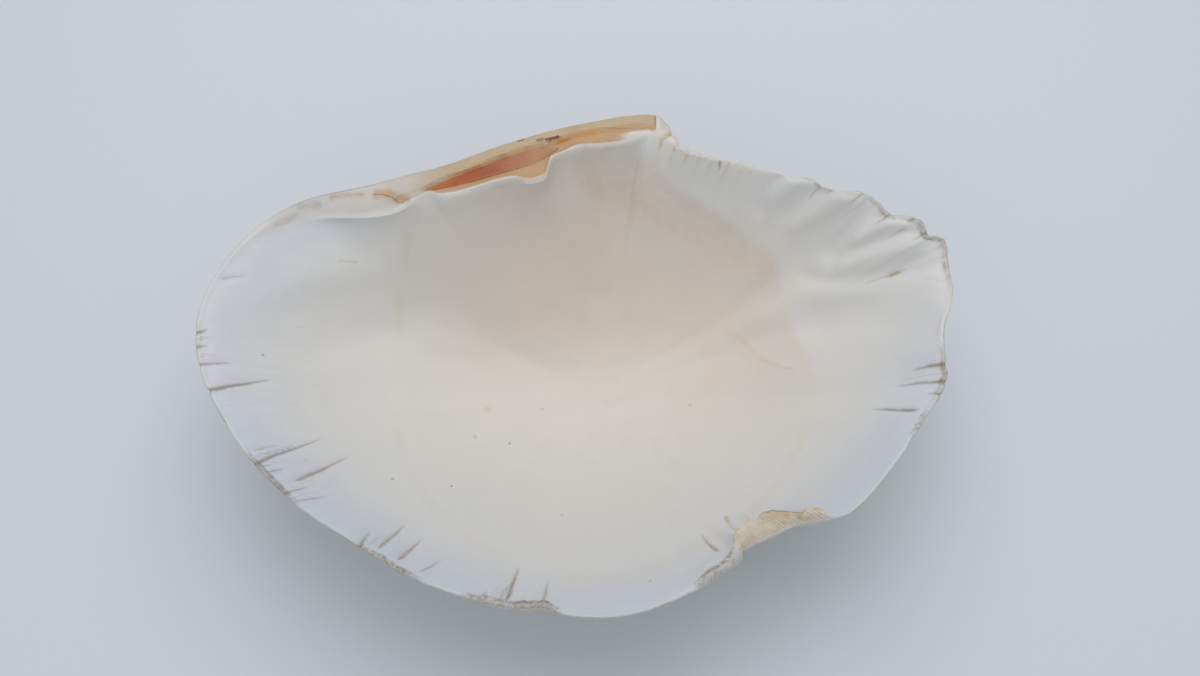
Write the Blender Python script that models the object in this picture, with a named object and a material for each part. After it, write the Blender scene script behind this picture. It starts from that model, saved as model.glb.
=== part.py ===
"""Left valve of a smooth giant clam, lying open side up, with the dried remnant of its ligament.

The valve is one closed body of three sheets that share their edges: the ribbed outside, a fan of
growth traces from the beak to the margin; the inside, rings round the middle of the bowl; and the
rim between them, which widens into the hinge plate along the back. X runs along the shell to its
front end, Y to the hinge and Z up. The origin is under the middle of the shell, on the floor.
"""

import bpy
import numpy as np

MM = 0.001

# Sizes of the valve, in millimetres.
RIM_HEIGHT = 92.0
FLOOR_THICKNESS = 13.0
REST_FLAT = 3.5
BOWL_CENTRE = (-6.0, 10.0)

# Outline of the rim seen from above: the angle round the point where the folds meet (degrees, 0 at
# the shell's front end and 90 at the hinge) and the distance from that point.
OUTLINE = (
    (0, 161), (8, 168), (16, 176), (23, 170), (30, 157), (40, 142), (52, 127), (64, 119),
    (70, 119), (77, 131), (83, 131), (92, 125), (106, 122), (118, 123), (132, 131), (143, 146),
    (153, 170), (163, 185), (174, 191), (182, 188), (192, 174), (207, 157), (222, 142), (238, 133),
    (252, 128), (270, 126), (288, 121), (303, 119), (314, 126), (323, 136), (336, 143), (346, 151),
    (354, 160),
)
BEAK_ANGLE = 79.0
POSTERIOR_END = 146.0
ANTERIOR_END = 34.0

# Width of the rim's face, which along the back is the hinge plate: angle and width.
RIM_FACE = (
    (0, 5.5), (20, 5.5), (40, 5), (60, 5), (72, 5), (77, 9), (81, 12.5), (85, 14.5), (91, 14.5),
    (98, 13), (103, 18), (107, 24), (111, 24), (115, 20.5), (122, 18.5), (130, 17), (134, 15.5),
    (140, 15), (145, 11), (150, 7), (158, 5.5), (200, 5.5), (230, 6), (260, 6), (290, 5.5), (330, 5.5),
)

# Low folds: angle at the margin, half width in degrees and drop of the rim.
FOLDS = (
    (187, 13, 5.0), (206, 11, 6.0), (228, 11, 6.0), (253, 12, 6.5), (310, 13, 7.0),
    (354, 8, 6.0), (15, 9, 6.5), (30, 7, 5.0),
)
EDGE_ROOM = 0.3
OUTER_RIB_HEIGHT = 0.7
UMBO_SWELL = 7.0

# The fold that lost its edge: angle, half width, how far it broke back and how far down.
CHIP_ANGLE = 311.0
CHIP_HALF_WIDTH = 11.5
CHIP_BACK = 8.0
CHIP_DOWN = 6.0
CHIP_FACE = 6.0
CHIP_REACH = 0.90

# Profile of the bowl, outside and inside: power of the distance and of the remainder.
OUTER_PROFILE = (2.3, 0.72)
INNER_PROFILE = (2.15, 0.88)
SOFT_BELL = 26.0
CAVITY_SHARE = 0.5
THIN_RIM = 6.0

# Growth stops along the fan, as parts of its length, and how far each old edge stands proud.
GROWTH_STOPS = (0.30, 0.47, 0.62, 0.75, 0.86, 0.95)
GROWTH_STEP = 1.1

# Crenulations of the byssal edge, right of the beak.
CRENULATION_PITCH = 6.4
CRENULATION_HEIGHT = 1.5
CRENULATED_LENGTH = 62.0

# Hinge plate: the angles over which its relief begins and ends, the height of its crest and of its
# outer band, the groove between them, and the ligament in the groove.
PLATE_STARTS = (80.0, 88.0)
PLATE_ENDS = (136.0, 148.0)
CREST_HEIGHT = 2.2
GROOVE_DEPTH = 2.6
BAND_HEIGHT = 1.2
LIGAMENT_ANGLES = (103.0, 133.0)
LIGAMENT_THICKNESS = 2.0
LIGAMENT_GAP = 0.35

# Mesh: cells round the margin, along a dorsal edge, and the rings of the inside.
MARGIN_CELLS = 92
DORSAL_CELLS = 26
INNER_RINGS = (0.965, 0.91, 0.83, 0.73, 0.61, 0.48, 0.34, 0.18)
FACE_PARTS = (0.0, 0.14, 0.28, 0.58, 0.72, 1.0)


def round_curve(knots, degrees):
    """Smooth closed curve through (angle, value) pairs: a cubic on each stretch, with the slope of
    the chord between a knot's two neighbours."""
    angle, value = np.array(knots, float).T
    order = np.argsort(angle)
    angle = angle[order]
    value = value[order]
    angle = np.concatenate([angle[-2:] - 360, angle, angle[:2] + 360])
    value = np.concatenate([value[-2:], value, value[:2]])
    slope = np.zeros(len(angle))
    slope[1:-1] = (value[2:] - value[:-2]) / (angle[2:] - angle[:-2])
    at = np.mod(degrees - angle[1], 360) + angle[1]
    i = np.clip(np.searchsorted(angle, at, side="right") - 1, 1, len(angle) - 3)
    width = angle[i + 1] - angle[i]
    t = (at - angle[i]) / width
    return (
        value[i] * (2 * t**3 - 3 * t**2 + 1)
        + value[i + 1] * (3 * t**2 - 2 * t**3)
        + slope[i] * width * (t**3 - 2 * t**2 + t)
        + slope[i + 1] * width * (t**3 - t**2)
    )


def smooth_step(low, high, value):
    """0 below low, 1 above high, smooth between."""
    t = np.clip((value - low) / (high - low), 0, 1)
    return t * t * (3 - 2 * t)


def hump(degrees, middle, half_width):
    """1 at an angle, falling to 0 at half_width to either side."""
    off = np.abs(np.mod(degrees - middle + 180, 360) - 180)
    return 1 - smooth_step(0, half_width, off)


def fold(degrees):
    return sum(drop * hump(degrees, middle, half) for middle, half, drop in FOLDS)


def chip(degrees):
    """1 where the rim is broken off, with short ends."""
    off = np.abs(np.mod(degrees - CHIP_ANGLE + 180, 360) - 180)
    return 1 - smooth_step(0.7 * CHIP_HALF_WIDTH, CHIP_HALF_WIDTH, off)


def margin(degrees):
    """The rim's outer edge seen from above, as it grew."""
    distance = round_curve(OUTLINE, degrees)
    turn = np.radians(degrees)
    return np.stack([distance * np.cos(turn), distance * np.sin(turn)], -1)


def inwards(degrees):
    """Level direction square to the rim, from the outside in."""
    along = margin(degrees + 2) - margin(degrees - 2)
    across = np.stack([-along[..., 1], along[..., 0]], -1)
    return across / np.linalg.norm(across, axis=-1, keepdims=True)


def even_angles(start, end, cells):
    """Angles that part the rim between start and end into cells of equal length."""
    fine = np.linspace(start, end, 2000)
    steps = np.linalg.norm(np.diff(margin(fine), axis=0), axis=1)
    run = np.concatenate([[0], np.cumsum(steps)])
    return np.interp(np.linspace(0, run[-1], cells + 1), run, fine)


def edge_distance(xy):
    """How far out a point is from the middle of the bowl: 0 there, 1 on the outline."""
    rim = margin(np.linspace(0, 360, 1441)[:-1]) - BOWL_CENTRE
    turn = np.degrees(np.arctan2(rim[:, 1], rim[:, 0]))
    away = xy - BOWL_CENTRE
    bearing = np.degrees(np.arctan2(away[..., 1], away[..., 0]))
    limit = np.interp(bearing, turn[np.argsort(turn)], np.hypot(*rim[np.argsort(turn)].T), period=360)
    return np.hypot(away[..., 0], away[..., 1]) / limit


def bowl(out, profile):
    """Depth of the bowl as a part of its greatest depth, from 1 in the middle to 0 at the rim."""
    power, remainder = profile
    return (1 - out**power) ** remainder


def outer_rows():
    """Rows of the fan, closer together near the beak, with a pair at each growth stop."""
    plain = np.linspace(0, 1, DORSAL_CELLS - len(GROWTH_STOPS) + 1) ** 1.25
    stops = np.array(GROWTH_STOPS)
    near = np.array([plain[np.argmin(np.abs(plain - stop))] for stop in stops])
    keep = plain[~np.isin(plain, near)]
    return np.sort(np.concatenate([keep, stops - 0.004, stops + 0.004]))


def growth(v):
    """Each growth stop's edge stands proud, then the surface steps back."""
    ends = np.array((0.0,) + GROWTH_STOPS + (1.2,))
    i = np.clip(np.searchsorted(ends, v, side="right") - 1, 0, len(ends) - 2)
    return GROWTH_STEP * ((v - ends[i]) / (ends[i + 1] - ends[i])) ** 2


def outer_sheet():
    """Points of the fan: u from the posterior end round the margin, v from the beak outwards."""
    angles = even_angles(POSTERIOR_END, ANTERIOR_END + 360, MARGIN_CELLS)
    u = np.linspace(0, 1, MARGIN_CELLS + 1)[:, None, None]
    rows = outer_rows()
    v = rows[None, :, None]
    beak = margin(np.array(BEAK_ANGLE))
    ends = margin(angles)[:, None, :]
    lean = np.sin(np.pi * u) ** 0.5
    control = 0.5 * (ends + (1 - lean) * beak)
    trace = (1 - v) ** 2 * beak + 2 * v * (1 - v) * control + v**2 * ends
    for side, end, weight in (
        (0, POSTERIOR_END, 1 - smooth_step(0, 0.15, u)),
        (-1, ANTERIOR_END, smooth_step(0.55, 1, u)),
    ):
        edge_angles = np.interp(rows, np.linspace(0, 1, 201), even_angles(BEAK_ANGLE, end, 200))
        trace = trace + weight * (margin(edge_angles)[None] - trace[side][None])
    out = edge_distance(trace)
    near_beak = np.minimum(1, 8 * rows) * (1 - smooth_step(0.3, 0.6, rows))
    room = 1 - EDGE_ROOM * np.sin(np.pi * u[..., 0]) * near_beak[None, :]
    within = np.minimum(1, room / out)
    trace = BOWL_CENTRE + (trace - BOWL_CENTRE) * within[..., None]
    out = np.minimum(out * within, 1)
    sag = fold(angles)[:, None]
    lost = chip(angles)[:, None] * smooth_step(CHIP_REACH, 1, rows)[None, :]
    ribbed = smooth_step(0.04, 0.5, rows)[None, :]
    height = RIM_HEIGHT * (1 - bowl(out, OUTER_PROFILE)) - sag * ribbed * out**4
    points = np.concatenate([trace, height[..., None]], -1)
    along = np.gradient(points, axis=0)
    across = np.gradient(points, axis=1)
    normal = np.cross(along, across)
    size = np.linalg.norm(normal, axis=-1, keepdims=True)
    normal = normal / np.maximum(size, 1e-6)
    taper = ribbed * (1 - rows**10)[None, :] * np.sin(np.pi * u[..., 0]) ** 0.3
    proud = (OUTER_RIB_HEIGHT * sag + growth(rows)[None, :]) * taper
    points = points + normal * proud[..., None]
    swell = UMBO_SWELL * smooth_step(0, 0.06, rows) * (1 - smooth_step(0.06, 0.45, rows))
    backwards = beak / np.linalg.norm(beak)
    full = np.sin(np.pi * u[..., 0]) ** 0.5 * (1 - smooth_step(0.3, 0.7, u[..., 0]))
    points[..., :2] += backwards * (swell[None, :] * full)[..., None]
    points[..., :2] += inwards(angles)[:, None] * (CHIP_BACK * lost)[..., None]
    points[..., 2] -= CHIP_DOWN * lost
    return points


def crenulation(xy, degrees):
    """Waves of the byssal edge, along the rim from the beak towards the front end."""
    run = np.linalg.norm(xy - margin(np.array(BEAK_ANGLE)), axis=-1)
    part = run / CRENULATED_LENGTH
    there = smooth_step(0.05, 0.2, part) * (1 - smooth_step(0.75, 1, part)) * (degrees < BEAK_ANGLE)
    return CRENULATION_HEIGHT * there * np.cos(2 * np.pi * run / CRENULATION_PITCH)


def plate(degrees):
    """1 along the hinge plate left of the beak, where the ligament area lies."""
    return smooth_step(*PLATE_STARTS, degrees) * (1 - smooth_step(*PLATE_ENDS, degrees))


def groove(degrees):
    start, end = LIGAMENT_ANGLES
    return smooth_step(start - 6, start, degrees) * (1 - smooth_step(end, end + 6, degrees))


def face_height(part, degrees):
    """Height of the rim's face over the straight line between its edges, at each part of its width."""
    rounded = 0.9 * 4 * part * (1 - part) * (1 - plate(degrees))
    floor = CREST_HEIGHT * 0.2 - (GROOVE_DEPTH + CREST_HEIGHT * 0.2) * groove(degrees)
    heights = (0, CREST_HEIGHT, floor, floor, BAND_HEIGHT, 0)
    return rounded + plate(degrees) * heights[FACE_PARTS.index(part)]


def soften(bearing, reach):
    """The inner edge's distance from the bowl's middle, averaged round each bearing with a
    cosine bell, so that the corners of the rim fade out towards the middle."""
    turned = np.mod(bearing, 360)
    order = np.argsort(turned)
    fine = np.arange(720) / 2.0
    even = np.interp(fine, turned[order], reach[order], period=360)
    off = np.arange(-SOFT_BELL, SOFT_BELL + 0.5, 0.5)
    bell = 1 + np.cos(np.pi * off / SOFT_BELL)
    smooth = sum(weight * np.roll(even, int(2 * step)) for weight, step in zip(bell, off)) / bell.sum()
    return np.interp(turned, fine, smooth, period=360)


def grid_faces(count, first, second):
    """Faces between two closed loops of count points."""
    near = np.arange(count)
    far = (near + 1) % count
    return np.stack([first + near, first + far, second + far, second + near], -1).tolist()


def build_valve():
    """Points and faces of the valve, and its rim loops, each from the beak past the posterior end."""
    sheet = outer_sheet()
    cells, ranks = sheet.shape[0] - 1, sheet.shape[1] - 1
    index = np.arange((cells + 1) * (ranks + 1)).reshape(cells + 1, ranks + 1)
    index[:, 0] = index[0, 0]
    loop_index = np.concatenate([index[0, :], index[1:, -1], index[-1, -2:0:-1]])
    points = sheet.reshape(-1, 3)

    edge = points[loop_index]
    degrees = np.mod(np.degrees(np.arctan2(edge[:, 1], edge[:, 0])), 360)
    broken = chip(degrees)
    wave = crenulation(edge[:, :2], degrees)
    points[loop_index, 2] += wave
    edge = points[loop_index]

    inward = inwards(degrees)
    width = round_curve(RIM_FACE, degrees) + CHIP_FACE * broken
    inner_height = RIM_HEIGHT - fold(degrees) + wave
    inner_edge = np.concatenate([edge[:, :2] + inward * width[:, None], inner_height[:, None]], 1)
    notch = inward * ((CHIP_BACK + CHIP_FACE) * broken)[:, None]

    count = len(loop_index)
    rings = []
    for part in FACE_PARTS[1:-1]:
        ring = inner_edge + (edge - inner_edge) * part
        ring[:, 2] += face_height(part, degrees)
        rings.append(ring)
    face_rings = [inner_edge] + rings

    away = inner_edge[:, :2] - notch - BOWL_CENTRE
    reach = np.linalg.norm(away, axis=1, keepdims=True)
    softened = soften(np.degrees(np.arctan2(away[:, 1], away[:, 0])), reach[:, 0])[:, None] / reach
    cavity = CAVITY_SHARE * np.maximum(round_curve(RIM_FACE, degrees) - THIN_RIM, 0)
    inner_rings = []
    for out in INNER_RINGS:
        deep = bowl(out, INNER_PROFILE)
        under = cavity * 6.75 * deep * (1 - deep) ** 2
        scale = softened + (1 - softened) * out**5
        plan = BOWL_CENTRE + away * (out * scale + under[:, None] / reach) + notch * out**12
        height = inner_height - (inner_height - FLOOR_THICKNESS) * deep
        inner_rings.append(np.concatenate([plan, height[:, None]], 1))

    faces = []
    for i in range(cells):
        faces.append([index[i, 0], index[i + 1, 1], index[i, 1]])
        for j in range(1, ranks):
            faces.append([index[i, j], index[i + 1, j], index[i + 1, j + 1], index[i, j + 1]])
    blocks = [points]
    starts = []
    total = len(points)
    for ring in face_rings[::-1] + inner_rings:
        blocks.append(ring)
        starts.append(total)
        total += count
    loop = loop_index
    turn = np.roll(np.arange(count), -1)
    for near, far in zip(np.arange(count), turn):
        faces.append([loop[near], loop[far], starts[0] + far, starts[0] + near])
    for first, second in zip(starts[:-1], starts[1:]):
        faces += grid_faces(count, first, second)
    blocks.append(np.array([[*BOWL_CENTRE, FLOOR_THICKNESS]]))
    for near, far in zip(np.arange(count), turn):
        faces.append([total, starts[-1] + near, starts[-1] + far])
    return np.concatenate(blocks), faces, inner_edge, edge, degrees


def build_ligament(inner_edge, edge, degrees):
    """A lens that follows the groove: a ring of six points at each station of the rim's face."""
    start, end = LIGAMENT_ANGLES
    stations = np.flatnonzero((degrees >= start) & (degrees <= end))
    foot, shoulder = FACE_PARTS[2], FACE_PARTS[3]
    rings = []
    for i in stations:
        along = (degrees[i] - start) / (end - start)
        full = max(0.16, np.sin(np.pi * np.clip(0.12 + 0.88 * along, 0, 1)) ** 0.7)
        width = np.linalg.norm(edge[i, :2] - inner_edge[i, :2])
        margin_part = LIGAMENT_GAP / width
        middle = (foot + shoulder) / 2
        half = ((shoulder - foot) / 2 - margin_part) * full
        floor = face_height(foot, degrees[i]) + LIGAMENT_GAP
        ring = []
        for side, rise in ((-1, 0), (1, 0), (1, 0.55), (0.45, 1), (-0.45, 1), (-1, 0.55)):
            part = middle + side * half
            point = inner_edge[i] + (edge[i] - inner_edge[i]) * part
            point = point + np.array([0, 0, floor + rise * LIGAMENT_THICKNESS * full])
            ring.append(point)
        rings.append(ring)
    points = np.array(rings).reshape(-1, 3)
    faces = [list(range(6)), list(range(len(points) - 6, len(points)))[::-1]]
    for i in range(len(rings) - 1):
        faces += [face[::-1] for face in grid_faces(6, 6 * i, 6 * i + 6)]
    return points, faces


def add_piece(name, points, faces, colour, roughness):
    mesh = bpy.data.meshes.new(name)
    used = np.unique(np.concatenate([np.asarray(face) for face in faces]))
    place = np.zeros(len(points), int)
    place[used] = np.arange(len(used))
    mesh.from_pydata((points[used] * MM).tolist(), [], [place[face].tolist() for face in faces])
    mesh.validate()
    mesh.update()
    mesh.shade_smooth()
    mesh.set_sharp_from_angle(angle=np.radians(40))
    material = bpy.data.materials.new(name + "_surface")
    material.use_nodes = True
    surface = material.node_tree.nodes["Principled BSDF"]
    surface.inputs["Base Color"].default_value = (*colour, 1)
    surface.inputs["Roughness"].default_value = roughness
    surface.inputs["Metallic"].default_value = 0
    mesh.materials.append(material)
    piece = bpy.data.objects.new(name, mesh)
    bpy.context.collection.objects.link(piece)
    return piece


def main():
    for old in list(bpy.data.objects):
        bpy.data.objects.remove(old)
    valve, valve_faces, inner_edge, edge, degrees = build_valve()
    ligament, ligament_faces = build_ligament(inner_edge, edge, degrees)

    low, high = valve.min(axis=0), valve.max(axis=0)
    shift = np.array([-(low[0] + high[0]) / 2, -(low[1] + high[1]) / 2, -low[2] - REST_FLAT])
    valve = valve + shift
    valve[:, 2] = np.maximum(valve[:, 2], 0)
    add_piece("valve", valve, valve_faces, (0.60, 0.56, 0.49), 0.5)
    add_piece("ligament", ligament + shift, ligament_faces, (0.32, 0.12, 0.05), 0.55)


main()
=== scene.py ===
import math
from types import SimpleNamespace

import bpy
import numpy as np
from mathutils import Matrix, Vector


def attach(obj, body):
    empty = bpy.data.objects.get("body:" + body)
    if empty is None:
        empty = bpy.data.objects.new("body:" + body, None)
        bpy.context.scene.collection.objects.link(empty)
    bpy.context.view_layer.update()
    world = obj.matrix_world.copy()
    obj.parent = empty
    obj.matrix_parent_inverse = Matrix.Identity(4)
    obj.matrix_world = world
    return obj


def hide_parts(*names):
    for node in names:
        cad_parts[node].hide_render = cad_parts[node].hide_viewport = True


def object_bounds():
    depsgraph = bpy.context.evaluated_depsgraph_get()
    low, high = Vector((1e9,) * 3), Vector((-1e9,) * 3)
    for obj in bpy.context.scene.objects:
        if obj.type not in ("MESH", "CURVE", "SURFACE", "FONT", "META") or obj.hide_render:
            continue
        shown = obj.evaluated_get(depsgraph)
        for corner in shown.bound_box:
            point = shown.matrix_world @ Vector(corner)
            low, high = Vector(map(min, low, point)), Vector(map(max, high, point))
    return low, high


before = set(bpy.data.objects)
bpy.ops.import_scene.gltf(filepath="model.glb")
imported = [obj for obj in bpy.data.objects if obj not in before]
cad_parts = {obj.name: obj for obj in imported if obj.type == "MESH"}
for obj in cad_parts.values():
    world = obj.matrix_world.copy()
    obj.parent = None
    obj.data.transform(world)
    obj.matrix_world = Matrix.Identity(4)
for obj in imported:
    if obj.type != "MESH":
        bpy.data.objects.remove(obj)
cadLow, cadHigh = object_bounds()
print("frame loaded, nodes:", ", ".join(sorted(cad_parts)))

mm = 0.001


# Camera, floor and light

viewPoint = {
    "elevation": 66.0,  # degrees above the floor, from the open front of the shell
    "distance": 0.638,
    "lens": 38.0,
    "sensor": 36.0,
    "aim": (0.0101, 0.0215, 0.0515),
}
studio = {
    "floorHalf": 3.0,
    "floorTint": (226, 232, 238),
    "airTint": (0.93, 0.96, 1.0),
    "airStrength": 0.46,
    # name: place, point it looks at, side in metres, watts, tint
    "boxes": {
        "softTop": ((0.05, 0.42, 1.15), (0, 0, 0.03), 1.1, 5.9, (1.0, 0.985, 0.96)),
        "softFront": ((-0.35, -1.0, 0.95), (0, 0, 0.05), 1.2, 1.3, (0.97, 0.985, 1.0)),
    },
}


def paint(red, green, blue):
    # A colour as it is seen on a screen, 0 to 255, turned into light: ((c + 0.055) / 1.055) ^ 2.4.
    seen = np.array([red, green, blue]) / 255
    light = np.where(seen <= 0.04045, seen / 12.92, ((seen + 0.055) / 1.055) ** 2.4)
    return (*light.tolist(), 1.0)


class Wire:
    # A socket that takes part in sums: wire + 1, 1 - wire, wire * other and abs(wire) add Math nodes.
    def __init__(self, tree, socket=None):
        self.tree = tree
        self.socket = socket

    def node(self, kind, settings=None, inputs=None, out=0):
        # Any node: type, settings or a ramp's stops, values or wires of its sockets, and the output read.
        made = self.tree.nodes.new(kind)
        for name, value in (settings or {}).items():
            if name != "stops":
                setattr(made, name, value)
                continue
            while len(made.color_ramp.elements) < len(value):
                made.color_ramp.elements.new(0.5)
            for element, (place, colour) in zip(made.color_ramp.elements, value):
                element.position = place
                element.color = colour
        for name, value in (inputs or {}).items():
            if isinstance(value, Wire):
                self.tree.links.new(value.socket, made.inputs[name])
            else:
                made.inputs[name].default_value = value
        return Wire(self.tree, made.outputs[out])

    def sum(self, operation, first, second=0.0):
        return self.node("ShaderNodeMath", {"operation": operation}, {0: first, 1: second})

    def __add__(self, other):
        return self.sum("ADD", self, other)

    def __sub__(self, other):
        return self.sum("SUBTRACT", self, other)

    def __rsub__(self, other):
        return self.sum("SUBTRACT", other, self)

    def __mul__(self, other):
        return self.sum("MULTIPLY", self, other)

    def __truediv__(self, other):
        return self.sum("DIVIDE", self, other)

    def __abs__(self):
        return self.sum("ABSOLUTE", self)

    __radd__ = __add__
    __rmul__ = __mul__

    def least(self, other):
        return self.sum("MINIMUM", self, other)

    def most(self, other):
        return self.sum("MAXIMUM", self, other)

    def sine(self):
        return self.sum("SINE", self)

    def vector(self, operation, inputs, out="Vector"):
        return self.node("ShaderNodeVectorMath", {"operation": operation}, inputs, out)

    def rise(self, low, high):
        # 0 below low and 1 above high, smooth between; high may lie below low.
        inputs = {"Value": self, "From Min": low, "From Max": high}
        return self.node("ShaderNodeMapRange", {"interpolation_type": "SMOOTHSTEP"}, inputs)

    def over(self, under, colour):
        # colour laid over under where this wire is 1.
        return self.node("ShaderNodeMix", {"data_type": "RGBA"}, {0: self, 6: under, 7: colour}, out=2)

    def attribute(self, name):
        return self.node("ShaderNodeAttribute", {"attribute_name": name}, out="Fac")

    def place(self):
        return self.node("ShaderNodeTexCoord", out="Object")

    def gap(self, plan, line):
        # How far a place, seen from above, is from a line of straight stretches: the length of
        # off - unit (off . unit), its foot kept on the stretch, and the least of these over the stretches.
        nearest = None
        for start, end in zip(line, line[1:]):
            length = math.dist(start, end)
            unit = ((end[0] - start[0]) / length, (end[1] - start[1]) / length, 0)
            off = self.vector("SUBTRACT", {0: plan, 1: (*start, 0)})
            along = self.vector("DOT_PRODUCT", {0: off, 1: unit}, "Value")
            foot = self.vector("SCALE", {0: unit, "Scale": along.most(0).least(length)})
            away = self.vector("DISTANCE", {0: off, 1: foot}, "Value")
            nearest = away if nearest is None else nearest.least(away)
        return nearest

    def cloud(self, where, size, detail=3.0, roughness=0.5):
        # Soft noise of about that size in metres, 0 to 1 round 0.5.
        inputs = {"Vector": where, "Scale": 1 / size, "Detail": detail, "Roughness": roughness}
        return self.node("ShaderNodeTexNoise", None, inputs)


def newMaterial(name):
    # An empty material with its Principled shader on the output; gives the material, a bare wire, the shader.
    material = bpy.data.materials.new(name)
    material.use_nodes = True
    tree = material.node_tree
    return material, Wire(tree), tree.nodes["Principled BSDF"]


def makeStage():
    tilt = math.radians(viewPoint["elevation"])
    camera = bpy.data.objects.new("camera", bpy.data.cameras.new("camera"))
    camera.data.lens = viewPoint["lens"]
    camera.data.sensor_width = viewPoint["sensor"]
    camera.data.clip_start = 0.01
    back = Vector((0, -math.cos(tilt), math.sin(tilt))) * viewPoint["distance"]
    camera.location = Vector(viewPoint["aim"]) + back
    camera.rotation_euler = (math.pi / 2 - tilt, 0, 0)
    bpy.context.scene.collection.objects.link(camera)
    bpy.context.scene.camera = camera

    for name, (place, aim, side, watts, tint) in studio["boxes"].items():
        box = bpy.data.objects.new(name, bpy.data.lights.new(name, "AREA"))
        box.data.size = side
        box.data.energy = watts
        box.data.color = tint
        box.location = place
        box.rotation_euler = (Vector(aim) - Vector(place)).to_track_quat("-Z", "Y").to_euler()
        bpy.context.scene.collection.objects.link(box)

    air = bpy.data.worlds.new("air")
    air.use_nodes = True
    air.node_tree.nodes["Background"].inputs["Color"].default_value = (*studio["airTint"], 1)
    air.node_tree.nodes["Background"].inputs["Strength"].default_value = studio["airStrength"]
    bpy.context.scene.world = air
    bpy.context.scene.view_settings.view_transform = "Standard"

    half = studio["floorHalf"]
    corners = [(-half, -half, 0), (half, -half, 0), (half, half, 0), (-half, half, 0)]
    mesh = bpy.data.meshes.new("floor")
    mesh.from_pydata(corners, [], [(0, 1, 2, 3)])
    floor = bpy.data.objects.new("floor", mesh)
    bpy.context.scene.collection.objects.link(floor)
    material, wire, shader = newMaterial("palePaper")
    shader.inputs["Base Color"].default_value = paint(*studio["floorTint"])
    shader.inputs["Roughness"].default_value = 0.85
    shader.inputs["Specular IOR Level"].default_value = 0.25
    mesh.materials.append(material)
    print("stage made")


# Shapes of lines and surfaces. All lengths are in millimetres, seen from the point where the folds meet.


def closedCurve(knots, degrees):
    # Closed curve through (angle, value) pairs: a cubic on each stretch, sloped as its neighbours' chord.
    angle, value = np.array(knots, float).T
    order = np.argsort(angle)
    angle, value = angle[order], value[order]
    angle = np.concatenate([angle[-2:] - 360, angle, angle[:2] + 360])
    value = np.concatenate([value[-2:], value, value[:2]])
    slope = np.zeros(len(angle))
    slope[1:-1] = (value[2:] - value[:-2]) / (angle[2:] - angle[:-2])
    at = np.mod(degrees - angle[1], 360) + angle[1]
    i = np.clip(np.searchsorted(angle, at, side="right") - 1, 1, len(angle) - 3)
    width = angle[i + 1] - angle[i]
    t = (at - angle[i]) / width
    return (
        value[i] * (2 * t**3 - 3 * t**2 + 1)
        + value[i + 1] * (3 * t**2 - 2 * t**3)
        + slope[i] * width * (t**3 - 2 * t**2 + t)
        + slope[i + 1] * width * (t**3 - t**2)
    )


def smoothStep(low, high, value):
    # 0 below low, 1 above high, 3t^2 - 2t^3 between.
    t = np.clip((value - low) / (high - low), 0, 1)
    return t * t * (3 - 2 * t)


def turnOff(degrees, middle):
    # How many degrees an angle is from a middle angle, the shorter way round.
    return np.abs(np.mod(degrees - middle + 180, 360) - 180)


def hump(degrees, middle, halfWidth):
    # 1 at an angle, falling smoothly to 0 at halfWidth to either side.
    return 1 - smoothStep(0, halfWidth, turnOff(degrees, middle))


def ripple(points, pitch, seed, waves=28):
    # Uneven relief: plane waves of about one pitch in seeded directions, summed and scaled to about -1 to 1.
    draw = np.random.default_rng(seed)
    heading = draw.normal(size=(waves, 3))
    heading /= np.linalg.norm(heading, axis=1, keepdims=True)
    rate = 2 * np.pi / (pitch * draw.uniform(0.75, 1.5, waves))
    phase = draw.uniform(0, 2 * np.pi, waves)
    return np.sin(points @ (heading * rate[:, None]).T + phase).sum(-1) / np.sqrt(waves)


def alongLine(plan, line):
    # From a line of straight stretches seen from above: the distance to the foot dropped on the nearest
    # stretch, the signed distance from the endless line through it, and the part of the length at the foot.
    line = np.array(line, float)
    start, stretch = line[:-1], np.diff(line, axis=0)
    length = np.linalg.norm(stretch, axis=1)
    off = plan[:, None] - start[None]
    foot = np.clip((off * stretch).sum(-1) / length**2, 0, 1)
    distance = np.linalg.norm(off - foot[..., None] * stretch, axis=-1)
    side = (stretch[:, 0] * off[..., 1] - stretch[:, 1] * off[..., 0]) / length
    near = distance.argmin(1)
    row = np.arange(len(plan))
    before = np.concatenate([[0], np.cumsum(length)[:-1]])
    part = (before[near] + foot[row, near] * length[near]) / length.sum()
    return distance[row, near], side[row, near], part


def uneven(points, name):
    height, pitch, seed = unevenForm[name]
    return height * ripple(points, pitch, seed)


def gridNormals(grid):
    # Unit normals of a grid of points: the cross product of the steps along its two directions.
    normal = np.cross(np.gradient(grid, axis=0), np.gradient(grid, axis=1))
    return normal / np.maximum(np.linalg.norm(normal, axis=-1, keepdims=True), 1e-6)


def newPiece(name, points, faces, fields, material, crease):
    # A mesh from points in millimetres; points that no face uses are dropped; fields become point attributes.
    used = np.zeros(len(points), bool)
    for block in faces:
        used[block.ravel()] = True
    place = np.cumsum(used) - 1
    mesh = bpy.data.meshes.new(name)
    corners = [corner for block in faces for corner in place[block].tolist()]
    mesh.from_pydata((points[used] * mm).tolist(), [], corners)
    for field, values in fields.items():
        layer = mesh.attributes.new(field, "FLOAT", "POINT")
        layer.data.foreach_set("value", values[used].astype(np.float32))
    mesh.shade_smooth()
    mesh.set_sharp_from_angle(angle=math.radians(crease))
    mesh.materials.append(material)
    piece = bpy.data.objects.new(name, mesh)
    bpy.context.scene.collection.objects.link(piece)
    triangles = sum(len(block) * (block.shape[1] - 2) for block in faces)
    print(name, "has", int(used.sum()), "points and", triangles, "triangles")
    return piece


# The valve

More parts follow.
